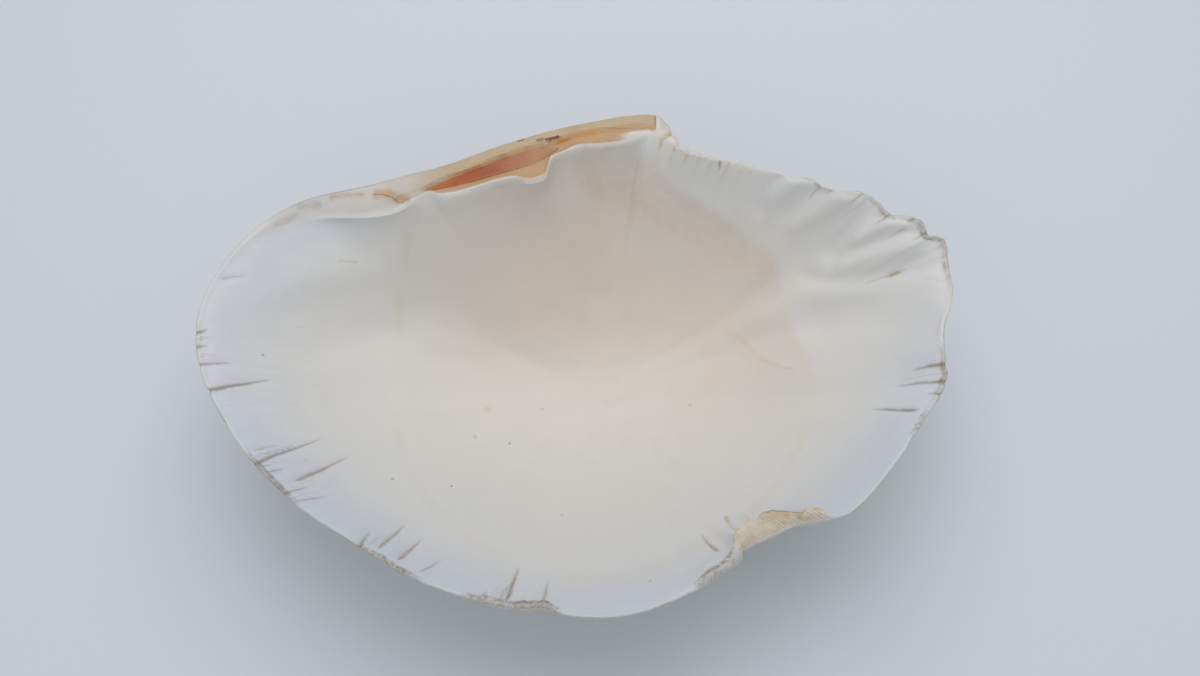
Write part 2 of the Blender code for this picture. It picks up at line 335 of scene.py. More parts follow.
valveForm = {
    "rimHeight": 92.0,
    "floorThickness": 13.0,
    "bowlCentre": (-6.0, 10.0),
    # rim seen from above: angle, distance
    "outline": (
        (0, 160.5), (4, 162), (8, 168), (12, 173), (15, 175), (18, 177.5), (19.5, 177.5), (21, 171.5),
        (24, 170), (27, 161), (30.5, 159.5), (33, 156), (36, 146), (39, 141), (42, 139), (44.5, 133),
        (48, 130.5), (52, 126.5), (64, 118.5), (70, 118.5), (77, 131), (83, 129.5), (92, 124.8),
        (106, 121.5), (118, 122.2), (126, 124.6), (132, 129.6), (143, 145), (153, 169), (163, 184),
        (174, 191), (182, 188.4), (192, 175.8), (199, 167.5), (207, 157.4), (222, 142), (238, 133.5),
        (248, 129), (252, 126.8), (258, 124), (264, 125.8), (270, 126), (279, 124.5), (288, 121.7),
        (303, 119), (314, 126), (323, 135.5), (336, 143.3), (346, 151.2), (354, 161.3), (357, 162),
    ),
    "beakAngle": 79.0,
    "posteriorEnd": 146.0,
    "anteriorEnd": 34.0,
    # width of the rim's lip, which along the back is the hinge plate: angle, width
    "lip": (
        (0, 1.8), (20, 2.2), (40, 2), (60, 2.4), (70, 3.5), (73.5, 8), (77, 12), (81, 15.5), (85, 17.5),
        (91, 17), (97.5, 15), (100.5, 16), (103.5, 17), (105, 20), (106.6, 25.5), (109, 27), (112, 26),
        (114.5, 22.8), (121, 20.6), (126, 20), (130.5, 18.6), (132.8, 15.3), (135.5, 16.8), (140, 18),
        (144, 15), (148, 11), (152, 8), (157, 5), (163, 2.6), (170, 1.8), (182, 1.8), (203, 1.8),
        (215, 1.5), (228, 1.7), (239, 1.5), (246, 2.5), (256, 2.7), (262, 1.8), (280, 1.6), (291, 3.4),
        (295, 4.2), (330, 1.7), (345, 1.7), (354, 2.2),
    ),
    # folds: angle, half width in degrees, drop of the rim
    "folds": (
        (187, 13, 5.0), (206, 11, 6.0), (228, 11, 6.0), (253, 12, 6.5), (310, 13, 7.0), (354, 8, 6.0),
        (15, 9, 6.5), (30, 7, 5.0),
    ),
    "edgeRoom": 0.3,  # near the beak the growth traces stay up to this share of the way inside the outline
    "ribHeight": 0.7,
    "umboSwell": 7.0,
    # profile of the bowl: power of the distance and of the remainder
    "outerBowl": (2.3, 0.72),
    "innerBowl": (2.15, 0.9),
    # how much the inside flares towards the rim, and over what part of the way
    "flare": (0.7, 0.07),
    # left of the hinge plate: angle, half width, and how much wider the flare or lower the lip is
    "leftFlare": (150, 20, 0.06),
    "leftDrop": (149, 15, 6.5),
    "leastLip": 1.5,
    # how fast the rim's waves die out inwards: power below the hinge, and what is added elsewhere
    "waveReach": (5, 9),
    "softBell": 26.0,
    # how far the inside reaches under the hinge plate, as a share of its width past thinRim, and the angles
    # over which that ends
    "cavityShare": 0.5,
    "cavityFade": (110, 139),
    "thinRim": 6.0,
    "growthStops": (0.30, 0.47, 0.62, 0.75, 0.86, 0.95),
    "growthStep": 1.1,
    # hinge plate
    "crestHeight": 2.2,
    "bandHeight": 1.2,
    "grooveDepth": 1.8,
    "grooveEnds": (101.0, 134.5),
    # outer and inner side of the ligament's groove: angle, depth from the rim's outer edge
    "grooveOuter": (
        (98, 6.5), (105, 6.6), (109, 6.8), (117, 7.1), (123, 7.6), (129, 7.8), (134, 10.6), (137, 11.2),
    ),
    "grooveInner": (
        (98, 13), (105, 14.5), (112, 15.3), (117, 14.8), (123, 13.7), (129, 12.1), (134, 11.4), (137, 11.4),
    ),
    # byssal edge
    "toothPitch": 6.2,
    "toothHeight": 0.9,
    "toothGap": 0.45,
    "toothedLength": 74.0,
}
# The fold that lost its edge: how far down it broke, and the broken face's outer and inner edges, as angle
# and depth from the edge as it grew.
chipForm = {
    "middle": 311.0,
    "halfWidth": 10.0,
    "down": 3.2,
    "reach": (0.68, 0.96),
    "outerEdge": (
        (300.8, 0), (302.2, 3), (303, 4.7), (305, 5.4), (307, 6.2), (309, 6.6), (311.5, 7.1), (314, 7.3),
        (316, 6.3), (318, 4.7), (320.3, 2.5), (322.5, 1.2), (324, 0),
    ),
    "innerEdge": (
        (296, 4), (299.5, 5), (301.3, 8), (302.8, 11.8), (304.5, 14.2), (305.8, 15.7), (307.7, 15.4),
        (309.5, 17), (311.1, 17.6), (313.2, 15.6), (314.9, 13), (316.2, 10), (317.3, 10), (319, 9.8),
        (320.2, 7.6), (321, 5), (322, 3), (323.5, 2), (325, 1.7),
    ),
}
# Slits in the ribs' edges: outer end and inner end seen from above, half width, how dark (painted shade in
# the crack), how brown.
slits = (
    ((-183.5, 35.5), (-170.5, 40.5), 0.7, 0.32, 0.2), ((-190, 7.5), (-185, 10.5), 0.6, 0.9, 0.2),
    ((-189, 1), (-184, 2.5), 0.5, 0.7, 0.2), ((-187, -7.5), (-173.5, -3), 0.65, 0.8, 0.3),
    ((-182, -20), (-158, -6), 0.9, 0.85, 0.3), ((-158, -50), (-147, -42), 0.5, 0.4, 0.2),
    ((-155, -56), (-132, -31.5), 0.75, 0.8, 0.3), ((-150, -59.5), (-144, -56), 0.5, 0.7, 0.2),
    ((-140.5, -62.5), (-120.5, -40), 0.9, 0.75, 0.6), ((-141.5, -69), (-133, -63), 0.55, 0.7, 0.4),
    ((-136.5, -73), (-123.5, -66.5), 0.6, 0.6, 0.2), ((-105.5, -94), (-103, -84.5), 0.6, 0.75, 0.4),
    ((-99, -95), (-89.5, -75.5), 0.85, 0.8, 0.7), ((-90.5, -100), (-82, -83), 0.95, 0.8, 0.9),
    ((-80, -105.5), (-70.5, -95), 0.6, 0.6, 0.6), ((-50.5, -117), (-50, -112), 0.6, 0.6, 0.3),
    ((-44.5, -117), (-41, -106), 0.45, 0.55, 0.4), ((-41.5, -118), (-37.5, -95), 1.0, 0.95, 0.4),
    ((-25.5, -118), (-24, -104.5), 0.8, 0.75, 0.9), ((52.5, -94.5), (45.5, -80.5), 0.9, 0.75, 0.9),
    ((61.5, -85.5), (58.5, -71), 0.5, 0.55, 0.8), ((68, -78.5), (67, -68), 0.35, 0.4, 0.2),
    ((162, -7.5), (145.5, -6), 0.8, 0.95, 0.3), ((161.5, -15.5), (138.5, -11), 0.65, 0.9, 0.3),
    ((159.5, -22.5), (151, -20), 0.55, 0.8, 0.3), ((147, -30.5), (127.5, -21), 0.9, 0.9, 0.3),
    ((148.5, 48), (140, 47), 0.45, 0.7, 1.0), ((109.5, 88), (102, 83), 0.5, 0.5, 0.4),
    ((118, 86.5), (110, 83.3), 0.45, 0.5, 0.4), ((131, 84.6), (122, 80), 0.5, 0.6, 0.4),
    ((143.6, 73.4), (134.8, 69.5), 0.5, 0.75, 0.5), ((155.8, 70), (149, 67), 0.6, 0.85, 0.3),
    ((150.8, 65.2), (137, 61.6), 0.35, 0.35, 0.3), ((161, 62), (151.3, 58.8), 0.8, 0.7, 0.6),
    ((168.6, 57.6), (162, 53.8), 0.4, 0.45, 0.3), ((169.2, 51.6), (164.4, 49.6), 0.4, 0.5, 0.3),
    ((59.2, 102), (59.4, 98.5), 0.6, 0.9, 0.3),
)
slitForm = {
    # the valley's depth and half width and the dark core's half width, each over the slit's half width
    "depth": 1.5,
    "reach": 1.3,
    "bulk": 1.2,
    "near": (3.0, 4.4),  # its colour fades out between these distances
    "openFrom": 1.8,  # a slit whose outer end is nearer the rim than this runs out through it
    "rimNotch": (1.1, 1.0),  # how far it cuts the rim inwards and down
}
# Uneven relief: height, size of its waves, seed.
unevenForm = {
    "riblets": (0.25, 45, 3),
    "growthLines": (0.35, 45, 3),
    "outsideGrain": (0.22, 9, 4),
    "outsideCoarse": (0.45, 24, 5),
    "wornNicks": (0.5, 7, 11),
    "brokenNicks": (0.7, 6, 12),
    "lipWidth": (0.6, 8, 13),
    "brokenSteps": (0.5, 9, 21),
    "wornLip": (0.25, 4, 22),
    "bowlSwell": (0.35, 70, 31),
    "bowlUneven": (0.10, 16, 32),
    "fluting": (2, 40, 33),
    "wornInside": (0.20, 5, 34),
}
# Worn, rough lobes of the rim: angle, half width in degrees, how worn.
wornLobes = (
    (180, 8, 0.2), (203, 8, 0.5), (228, 9, 0.6), (250, 8, 1.0), (257, 5, 1.0), (296, 7, 1.0),
    (345, 4, 0.4), (355, 7, 0.4), (16, 8, 0.3), (22, 3, 0.4), (29, 7, 0.35), (40, 6, 0.3),
)
# Soft relief of the inside: line seen from above, half width, height.
softRelief = (
    (((153, 47.5), (136, 48), (114, 52), (104, 58)), 3.2, -1.3),
    (((168, 53), (156, 56), (143, 56.5), (122, 57)), 3.6, 1.6),
    (((165, 62), (149, 63), (135, 63), (118, 62)), 2.8, -1.7),
    (((155, 69), (149, 67.5), (139, 68.5), (128, 66)), 3.0, 1.4),
    (((144, 74), (134, 74.5), (126, 71), (116, 65)), 3.2, -1.8),
    (((129, 84), (121, 81.5), (112, 80), (98, 77)), 3.6, 1.9),
    (((118, 86), (105, 85.5), (95, 82)), 3.0, -1.5),
    (((106, 93), (98, 90.5), (86, 87)), 3.0, 1.2),
    (((92, 94), (84, 91), (81, 85)), 2.5, -1.0),
    (((162, 37), (153, 39), (128, 44), (102, 49)), 6.0, 1.3),
    (((158, 14), (134, 28), (112, 31)), 9.0, -1.8),
    (((-154, 57), (-131, 67), (-107, 74)), 9.0, -2.2),
    (((-165, 34), (-137, 50), (-101, 63)), 8.0, 1.4),
    (((-170, 12), (-147, 12), (-123, 26), (-94, 43)), 9.0, -1.6),
    (((80, 43), (84, 44)), 7.0, 1.3),
    (((68, 41), (75, 30), (91, 12), (103, 9)), 2.2, 0.7),
    (((-34, -67), (-20, -84), (-13, -104)), 6.0, -0.6),
    (((-58, -60), (-56, -84), (-62, -104)), 6.0, -0.8),
    (((30, -66), (34, -88), (36, -104)), 6.0, -0.8),
)
# How strongly the hinge's tan shows: angle, share.
hingeTint = (
    (75, 0), (76.2, 1), (128, 1), (133, 0.85), (138, 0.6), (143, 0.4), (149, 0.25), (155, 0.12), (162, 0),
    (168, 0),
)
# The scar of the mantle, which parts the bowl from the margin: angle, distance.
pallialLine = (
    (0, 106), (18, 103), (25, 104), (31, 108), (38, 110), (45, 107), (54, 104), (65, 102), (73, 104.5),
    (80, 109), (87, 113), (98, 116), (112, 113), (126, 114), (140, 120), (152, 116), (168, 106),
    (190, 104), (215, 103), (240, 101), (270, 103), (300, 98), (330, 100), (350, 104),
)
outside = {"ribletCount": 60, "ribletHeight": 0.45, "growthLines": 20, "lineHeight": 0.25}
valveMesh = {
    "marginCells": 430,
    "dorsalCells": 96,
    "clusters": ((178, 14), (203, 9), (228, 9), (252, 9), (310, 13), (354, 8), (24, 12)),
    "lipRows": 15,
    "rimRings": 32,
    "bowlRings": 26,
    "rimZone": 0.70,
}


def fold(degrees):
    # How far the rim drops at the folds.
    return sum(drop * hump(degrees, middle, half) for middle, half, drop in valveForm["folds"])


def worn(degrees):
    # How worn the rim is: the sum of the lobes' humps, a little wider and stronger than stated, at most 1.
    more = 1.3
    humps = (more * much * hump(degrees, middle, more * half) for middle, half, much in wornLobes)
    return np.minimum(1, sum(humps))


def chip(degrees):
    # 1 where the rim is broken off, with short ends.
    half = chipForm["halfWidth"]
    return 1 - smoothStep(0.7 * half, half, turnOff(degrees, chipForm["middle"]))


def lostEdge(degrees):
    # How far back the rim broke.
    return np.interp(np.mod(degrees, 360), *np.array(chipForm["outerEdge"]).T)


def margin(degrees):
    # The rim's outer edge seen from above: (distance cos angle, distance sin angle).
    distance = closedCurve(valveForm["outline"], degrees)
    turn = np.radians(degrees)
    return np.stack([distance * np.cos(turn), distance * np.sin(turn)], -1)


def inwards(degrees):
    # Level direction square to the rim: the chord from 2 degrees before to 2 after, turned by a right angle.
    along = margin(degrees + 2) - margin(degrees - 2)
    across = np.stack([-along[..., 1], along[..., 0]], -1)
    return across / np.linalg.norm(across, axis=-1, keepdims=True)


def edgeDistance(plan):
    # How far out a point is from the bowl's middle: its distance over the outline's on the same bearing. Away
    # from the rim the outline is averaged over 16 degrees, so that its nicks don't run down the ribs.
    rim = margin(np.linspace(0, 360, 1441)[:-1]) - valveForm["bowlCentre"]
    turn = np.degrees(np.arctan2(rim[:, 1], rim[:, 0]))
    order = np.argsort(turn)
    away = plan - valveForm["bowlCentre"]
    bearing = np.degrees(np.arctan2(away[..., 1], away[..., 0]))
    even = np.interp(np.arange(720) / 2, turn[order], np.hypot(rim[order, 0], rim[order, 1]), period=360)
    smooth = sum(np.roll(even, step) for step in range(-16, 17)) / 33
    length = np.hypot(away[..., 0], away[..., 1])
    sharp = np.interp(bearing, turn[order], np.hypot(rim[order, 0], rim[order, 1]), period=360)
    blunt = np.interp(bearing, np.arange(720) / 2, smooth, period=360)
    return length / (blunt + (sharp - blunt) * smoothStep(0.7, 0.98, length / sharp))


def bowl(out, profile):
    # Depth as a part of the greatest depth: (1 - out^power)^remainder.
    power, remainder = profile
    return (1 - out**power) ** remainder


def marginCourse():
    # Angles of the fan's columns, up to three times as close at the folds, and the part of the rim's length.
    fine = np.linspace(valveForm["posteriorEnd"], valveForm["anteriorEnd"] + 360, 6000)
    run = np.concatenate([[0], np.cumsum(np.linalg.norm(np.diff(margin(fine), axis=0), axis=1))])
    near = sum(hump(fine, middle, 1.5 * half) * 2 for middle, half in valveMesh["clusters"])
    close = 1 + 2 * np.minimum(1, near)
    load = np.concatenate([[0], np.cumsum(np.diff(run) * close[1:])])
    angles = np.interp(np.linspace(0, load[-1], valveMesh["marginCells"] + 1), load, fine)
    return angles, np.interp(angles, fine, run) / run[-1]


def dorsalAngles(end, parts):
    # Angles along the back edge from the beak to an end, at the given parts of its length.
    fine = np.linspace(valveForm["beakAngle"], end, 2000)
    run = np.concatenate([[0], np.cumsum(np.linalg.norm(np.diff(margin(fine), axis=0), axis=1))])
    return np.interp(parts * run[-1], run, fine)


def growth(v):
    # Each growth stop's edge stands proud as the square of the way to it, then the surface steps back.
    ends = np.array((0.0,) + valveForm["growthStops"] + (1.2,))
    i = np.clip(np.searchsorted(ends, v, side="right") - 1, 0, len(ends) - 2)
    return valveForm["growthStep"] * ((v - ends[i]) / (ends[i + 1] - ends[i])) ** 2


def outerSheet():
    # The ribbed outside, a fan of quadratic growth traces from the beak to the margin: (1-v)^2 beak + 2v(1-v)
    # control + v^2 end, raised to rimHeight (1 - bowl), less the folds' drop out^4.
    form = valveForm
    angles, u = marginCourse()
    u = u[:, None, None]
    stops = np.array(form["growthStops"])
    plain = np.linspace(0, 1, valveMesh["dorsalCells"] + 1) ** 1.15
    rows = np.sort(np.concatenate([plain, stops - 0.003, stops + 0.003]))
    v = rows[None, :, None]
    beak = margin(np.array(form["beakAngle"]))
    ends = margin(angles)[:, None, :]
    lean = np.sin(np.pi * u) ** 0.5
    control = 0.5 * (ends + (1 - lean) * beak)
    trace = (1 - v) ** 2 * beak + 2 * v * (1 - v) * control + v**2 * ends
    for side, end, weight in (
        (0, form["posteriorEnd"], 1 - smoothStep(0, 0.15, u)),
        (-1, form["anteriorEnd"], smoothStep(0.55, 1, u)),
    ):
        trace = trace + weight * (margin(dorsalAngles(end, rows))[None] - trace[side][None])
    out = edgeDistance(trace)
    u = u[..., 0]
    nearBeak = np.minimum(1, 8 * rows) * (1 - smoothStep(0.3, 0.6, rows))
    within = np.minimum(1, (1 - form["edgeRoom"] * np.sin(np.pi * u) * nearBeak[None, :]) / out)
    trace = form["bowlCentre"] + (trace - form["bowlCentre"]) * within[..., None]
    out = np.minimum(out * within, 1)
    sag = fold(angles)[:, None]
    ribbed = smoothStep(0.04, 0.5, rows)[None, :]
    height = form["rimHeight"] * (1 - bowl(out, form["outerBowl"])) - sag * ribbed * out**4
    points = np.concatenate([trace, height[..., None]], -1)
    normal = gridNormals(points)

    # riblets on the ribs' backs, fine growth lines and an uneven skin
    taper = ribbed * (1 - rows**10)[None, :] * np.sin(np.pi * u) ** 0.3
    proud = (form["ribHeight"] * sag + growth(rows)[None, :]) * taper
    skin = points.reshape(-1, 3)
    names = ("riblets", "growthLines", "outsideGrain", "outsideCoarse")
    bendRiblets, bendLines, grain, coarse = (uneven(skin, name).reshape(out.shape) for name in names)
    riblet = np.cos(2 * np.pi * (u * outside["ribletCount"] + bendRiblets))
    lines = np.mod(rows[None, :] * outside["growthLines"] + bendLines, 1) ** 2
    fade = ribbed * (1 - smoothStep(0.97, 1, rows))[None, :] * np.sin(np.pi * u) ** 0.3
    relief = outside["ribletHeight"] * riblet * smoothStep(0.15, 0.6, rows)[None, :]
    relief = relief + outside["lineHeight"] * lines + grain + coarse
    points = points + normal * (proud + relief * fade)[..., None]
    swell = form["umboSwell"] * smoothStep(0, 0.06, rows) * (1 - smoothStep(0.06, 0.45, rows))
    backwards = beak / np.linalg.norm(beak)
    full = np.sin(np.pi * u) ** 0.5 * (1 - smoothStep(0.3, 0.7, u))
    points[..., :2] += backwards * (swell[None, :] * full)[..., None]

    # the fold that lost its edge
    lost = chip(angles)[:, None]
    back = lostEdge(angles)[:, None] * smoothStep(*chipForm["reach"], rows)[None, :]
    points[..., :2] += inwards(angles)[:, None] * back[..., None]
    points[..., 2] -= chipForm["down"] * lost * smoothStep(0.9, 1, rows)[None, :]
    row = np.broadcast_to(rows[None, :], out.shape)
    return points, {"growthRow": row, "course": u * np.ones_like(out), "hollow": relief * fade}


def byssalWave(plan, degrees):
    # Rounded teeth of the byssal edge: the cosine of the distance from the beak, its tops broadened.
    run = np.linalg.norm(plan - margin(np.array(valveForm["beakAngle"])), axis=-1)
    part = run / valveForm["toothedLength"]
    there = smoothStep(0.07, 0.16, part) * (1 - smoothStep(0.7, 1, part)) * (degrees < valveForm["beakAngle"])
    stronger = 0.7 + 0.3 * np.sin(run * 0.9) * np.sin(run * 0.37 + 1)
    wave = np.cos(2 * np.pi * (run + 1.2 * np.sin(run * 0.21)) / valveForm["toothPitch"])
    return there * stronger * (1 - 2 * ((1 - wave) / 2) ** 1.6), there


def plate(degrees):
    # 1 along the hinge plate left of the beak.
    return smoothStep(78, 84, degrees) * (1 - smoothStep(134, 148, degrees))


def steepPart(degrees):
    # 1 where the inside drops straight from the hinge plate, 0 where it flares out to the rim.
    return smoothStep(78, 84, degrees) * (1 - smoothStep(124, 138, degrees))


def lipHeight(depth, width, degrees):
    # Height over the straight line between the lip's edges: a low arch on the plain rim; on the hinge plate a
    # band, the step down to the ligament's groove, and the rounded crest along the inner edge.
    form = valveForm
    part = np.clip(depth / width, 0, 1)
    middle, half, _ = form["leftDrop"]
    flatter = 1 - 0.9 * hump(degrees, middle, half)
    arch = np.minimum(1.0, 0.24 * width) * 4 * part * (1 - part) * flatter
    start, end = form["grooveEnds"]
    there = smoothStep(start - 5, start, degrees) * (1 - smoothStep(end - 1.5, end + 1, degrees))
    outer = closedCurve(form["grooveOuter"], degrees)
    inner = closedCurve(form["grooveInner"], degrees)
    floor = smoothStep(outer - 0.5, outer + 0.7, depth) * (1 - smoothStep(inner - 0.8, inner + 1.6, depth))
    band = smoothStep(0, 1.8, depth) * (1 - smoothStep(outer - 0.7, outer + 0.5, depth))
    band = band * (form["bandHeight"] + 0.10 * np.sin(2 * np.pi * depth / 1.7 + 0.15 * degrees))
    crest = form["crestHeight"] * np.exp(-(((depth - width + 2.0) / 1.7) ** 2)) * (depth < width + 1)
    crest = crest * (1 - (depth / width > 0.999)) * (1 - smoothStep(135, 143, degrees))
    flat = (band + crest - form["grooveDepth"] * there * floor) * smoothStep(0, 0.4, width - depth)
    return arch * (1 - plate(degrees)) + flat * plate(degrees)


def soften(bearing, reach):
    # The inner edge's distance from the bowl's middle, averaged round each bearing with a cosine bell.
    turned = np.mod(bearing, 360)
    order = np.argsort(turned)
    fine = np.arange(720) / 2.0
    even = np.interp(fine, turned[order], reach[order], period=360)
    off = np.arange(-valveForm["softBell"], valveForm["softBell"] + 0.5, 0.5)
    bell = 1 + np.cos(np.pi * off / valveForm["softBell"])
    smooth = sum(weight * np.roll(even, int(2 * step)) for weight, step in zip(bell, off)) / bell.sum()
    return np.interp(turned, fine, smooth, period=360)


def rounded(course, much):
    # A closed course with its corners rounded where asked: each point drawn to the mean of its neighbours.
    mean = sum(np.roll(course, step, axis=0) for step in range(-9, 10)) / 19
    return course + (mean - course) * np.minimum(1, 1.5 * much)[:, None]


def slitFields(plan):
    # For each point: the signed distance from the nearest slit, its half width, which tapers to its ends and
    # is 0 away from every slit, its darkness, its brownness, and the share of slitForm's depth carved there.
    best, second = np.full((2, len(plan)), 1e3)
    side, width, dark, brown, valley = np.zeros((5, len(plan)))
    course = margin(np.linspace(0, 360, 1441))
    for outer, inner, half, darkness, brownness in slits:
        distance, signed, part = alongLine(plan, (outer, inner))
        atRim = np.linalg.norm(course - outer, axis=1).min() < slitForm["openFrom"]
        taper = np.maximum(atRim, smoothStep(0, 0.25, part)) * (1 - part**1.5)
        fade = 1 - smoothStep(*slitForm["near"], distance)
        closer = distance < best
        second = np.where(closer, best, np.minimum(second, distance))
        best = np.where(closer, distance, best)
        side = np.where(closer, signed, side)
        width = np.where(closer, slitForm["bulk"] * half * taper * fade, width)
        dark = np.where(closer, darkness, dark)
        brown = np.where(closer, brownness, brown)
        carved = taper * np.exp(-((distance / (slitForm["reach"] * half + 0.3)) ** 2)) * half
        valley = np.maximum(valley, carved)
    width = width * smoothStep(0.3, 1.6, second - best)
    return (side, width, dark, brown), valley


def rimLines(points, loop, ownAngles):
    # The rim all round. Nicks, slits and teeth are cut into the outer edge, and the inner edge lies one lip's
    # width inside it, at the rim's height less the folds' drop.
    form = valveForm
    rim = SimpleNamespace(edge=points[loop])
    degrees = np.mod(np.degrees(np.arctan2(rim.edge[:, 1], rim.edge[:, 0])), 360)
    degrees[ownAngles] = np.mod(marginCourse()[0][1:], 360)
    rim.degrees = degrees
    rim.inward = inwards(degrees)
    rim.broken = chip(degrees)
    rim.wave, rim.toothed = byssalWave(rim.edge[:, :2], degrees)
    rim.rubbed = worn(degrees) * (1 - rim.broken)

    nick = np.abs(uneven(rim.edge, "wornNicks")) * rim.rubbed
    nick = nick + np.abs(uneven(rim.edge, "brokenNicks")) * rim.broken
    _, cut = slitFields(rim.edge[:, :2])
    inNotch, downNotch = slitForm["rimNotch"]
    points[loop, :2] += rim.inward * (nick + inNotch * cut)[:, None]
    points[loop, 2] += form["toothHeight"] * rim.wave - 0.8 * nick - downNotch * cut
    points[loop, :2] += rim.inward * (form["toothGap"] * rim.toothed * (1 - rim.wave))[:, None]
    rim.edge = points[loop]

    width = closedCurve(form["lip"], degrees)
    whole = 1 - smoothStep(295, 297, degrees) * (1 - smoothStep(324, 326, degrees))
    width = width * whole + np.interp(degrees, *np.array(chipForm["innerEdge"]).T) * (1 - whole)
    width = np.maximum(width - lostEdge(degrees), form["leastLip"])
    rim.width = width + np.abs(uneven(rim.edge, "lipWidth")) * (rim.rubbed + rim.broken)
    middle, half, drop = form["leftDrop"]
    height = form["rimHeight"] - fold(degrees) + 0.8 * form["toothHeight"] * rim.wave
    rim.height = height - drop * hump(degrees, middle, half)
    plan = rounded(rim.edge[:, :2] + rim.inward * rim.width[:, None], hump(degrees, 77, 10))
    rim.innerEdge = np.concatenate([plan, rim.height[:, None]], 1)
    return rim


def lipSheet(rim):
    # Rows between the lip's edges, the inner one first: the straight line between them plus the lip's height.
    # The broken face gets steps and the worn lobes a rough skin, both strongest in the middle: 4 t (1 - t).
    part = np.linspace(0, 1, valveMesh["lipRows"] + 1)[:, None]
    lip = rim.innerEdge[None] + (rim.edge - rim.innerEdge)[None] * part[..., None]
    depth = (1 - part) * rim.width[None]
    lip[..., 2] += lipHeight(depth, rim.width[None], rim.degrees[None])
    skin = lip.reshape(-1, 3)
    steps = np.abs(uneven(skin * (1, 1, 3), "brokenSteps").reshape(depth.shape)) * rim.broken[None]
    rough = uneven(skin, "wornLip").reshape(depth.shape) * rim.rubbed[None]
    lip[..., 2] += 4 * part * (1 - part) * (rough - steps + 0.5 * rim.broken[None])
    return lip[1:-1], depth[1:-1]


def insideRings(rim):
    # Rings of the inside, from the lip's inner edge down: height = inner - (inner - floor) bowl(out), flatter
    # by exp((out - 1) / over) near the rim. Under the hinge plate the wall first swings out, by
    # cavity 6.75 d (1 - d)^2 at depth d.
    form = valveForm
    notch = rim.inward * ((rim.width + lostEdge(rim.degrees)) * rim.broken)[:, None]
    away = rim.innerEdge[:, :2] - notch - form["bowlCentre"]
    reach = np.linalg.norm(away, axis=1)
    soft = soften(np.degrees(np.arctan2(away[:, 1], away[:, 0])), reach) / reach
    cavity = form["cavityShare"] * np.maximum(rim.width - form["thinRim"], 0) * (1 - rim.broken)
    cavity = cavity * (1 - smoothStep(*form["cavityFade"], rim.degrees) * (rim.degrees < 180))
    rimZone = np.linspace(1, valveMesh["rimZone"], valveMesh["rimRings"] + 1)
    deeper = np.linspace(valveMesh["rimZone"], 0.015, valveMesh["bowlRings"] + 1)
    outs = np.concatenate([rimZone, deeper[1:]])[:, None]

    gentle = 1 - steepPart(rim.degrees)
    much, over = form["flare"]
    middle, half, wider = form["leftFlare"]
    over = over + wider * hump(rim.degrees, middle, half)
    near = np.exp((outs - 1) / over) * smoothStep(0.45, 0.85, outs)
    deep = bowl(outs, form["innerBowl"]) * (1 - much * near * gentle)
    under = cavity * 6.75 * deep * (1 - deep) ** 2
    power, more = form["waveReach"]
    scale = soft + (1 - soft) * outs ** (power + more * gentle)
    plan = form["bowlCentre"] + away[None] * (outs * scale + under / reach)[..., None]
    plan = plan + notch[None] * (outs**9)[..., None]
    top = rim.height[None] - 0.8 * form["toothHeight"] * rim.wave[None] * (1 - outs**60)
    height = top - (top - form["floorThickness"]) * deep
    return np.concatenate([plan, height[..., None]], -1), outs[:, 0]


def insideSkin(rim, rings, outs):
    # The rings lifted along their normals: soft waves as bells exp(-(d / half)^2), the step at the scar, fine
    # flutes near the rim and the slits' valleys. Gives the points, the slits' fields and the scar's distance.
    wrapped = np.concatenate([rings[:, -1:], rings, rings[:, :1]], 1)
    normal = gridNormals(wrapped)[:, 1:-1]
    normal = normal * np.sign(normal[..., 2:] + 1e-9)
    flat = rings.reshape(-1, 3)
    slitsInside, cut = slitFields(flat[:, :2])
    lift = np.zeros(len(flat))
    for line, half, rise in softRelief:
        distance, _, _ = alongLine(flat[:, :2], line)
        lift += rise * np.exp(-((distance / half) ** 2))
    turn = np.mod(np.degrees(np.arctan2(flat[:, 1], flat[:, 0])), 360)
    scar = np.hypot(flat[:, 0], flat[:, 1]) - closedCurve(pallialLine, turn)
    step = (0.5 - 1.6 * hump(turn, 55, 42)) * (1 - hump(turn, 108, 55))
    lift += step * (1 - smoothStep(-3.5, 2.5, scar))
    lift += uneven(flat, "bowlSwell") + uneven(flat, "bowlUneven")
    atRim = np.repeat(smoothStep(0.80, 0.97, outs), len(rim.width))
    fluting = np.cos(np.radians(turn) * 150 + uneven(flat, "fluting"))
    lift += 0.24 * fluting * atRim * np.minimum(1, fold(turn) / 4) * (1 - hump(turn, 75, 55))
    lift += uneven(flat, "wornInside") * atRim**3 * np.tile(rim.rubbed, len(outs))
    lift -= slitForm["depth"] * cut
    pinned = np.repeat(smoothStep(1.0, 0.985, outs), len(rim.width))
    return flat + normal.reshape(-1, 3) * (lift * pinned)[:, None], slitsInside, scar


def valveFaces(index, loop, belts):
    # The fan with its triangles at the beak, quads between closed loops, triangles round the lowest point.
    first, count = index.size, len(loop)
    near = np.arange(count)
    far = (near + 1) % count
    quads = np.stack([index[:-1, 1:-1], index[1:, 1:-1], index[1:, 2:], index[:-1, 2:]], -1).reshape(-1, 4)
    tip = np.stack([index[:-1, 0], index[1:, 1], index[:-1, 1]], -1)
    join = np.stack([loop[near], loop[far], first + far, first + near], -1)
    belt = first + np.arange(belts - 1)[:, None] * count
    rings = np.stack([belt + near, belt + far, belt + count + far, belt + count + near], -1).reshape(-1, 4)
    last = first + (belts - 1) * count
    cap = np.stack([np.full(count, last + count), last + near, last + far], -1)
    return [quads, tip, join, rings, cap]


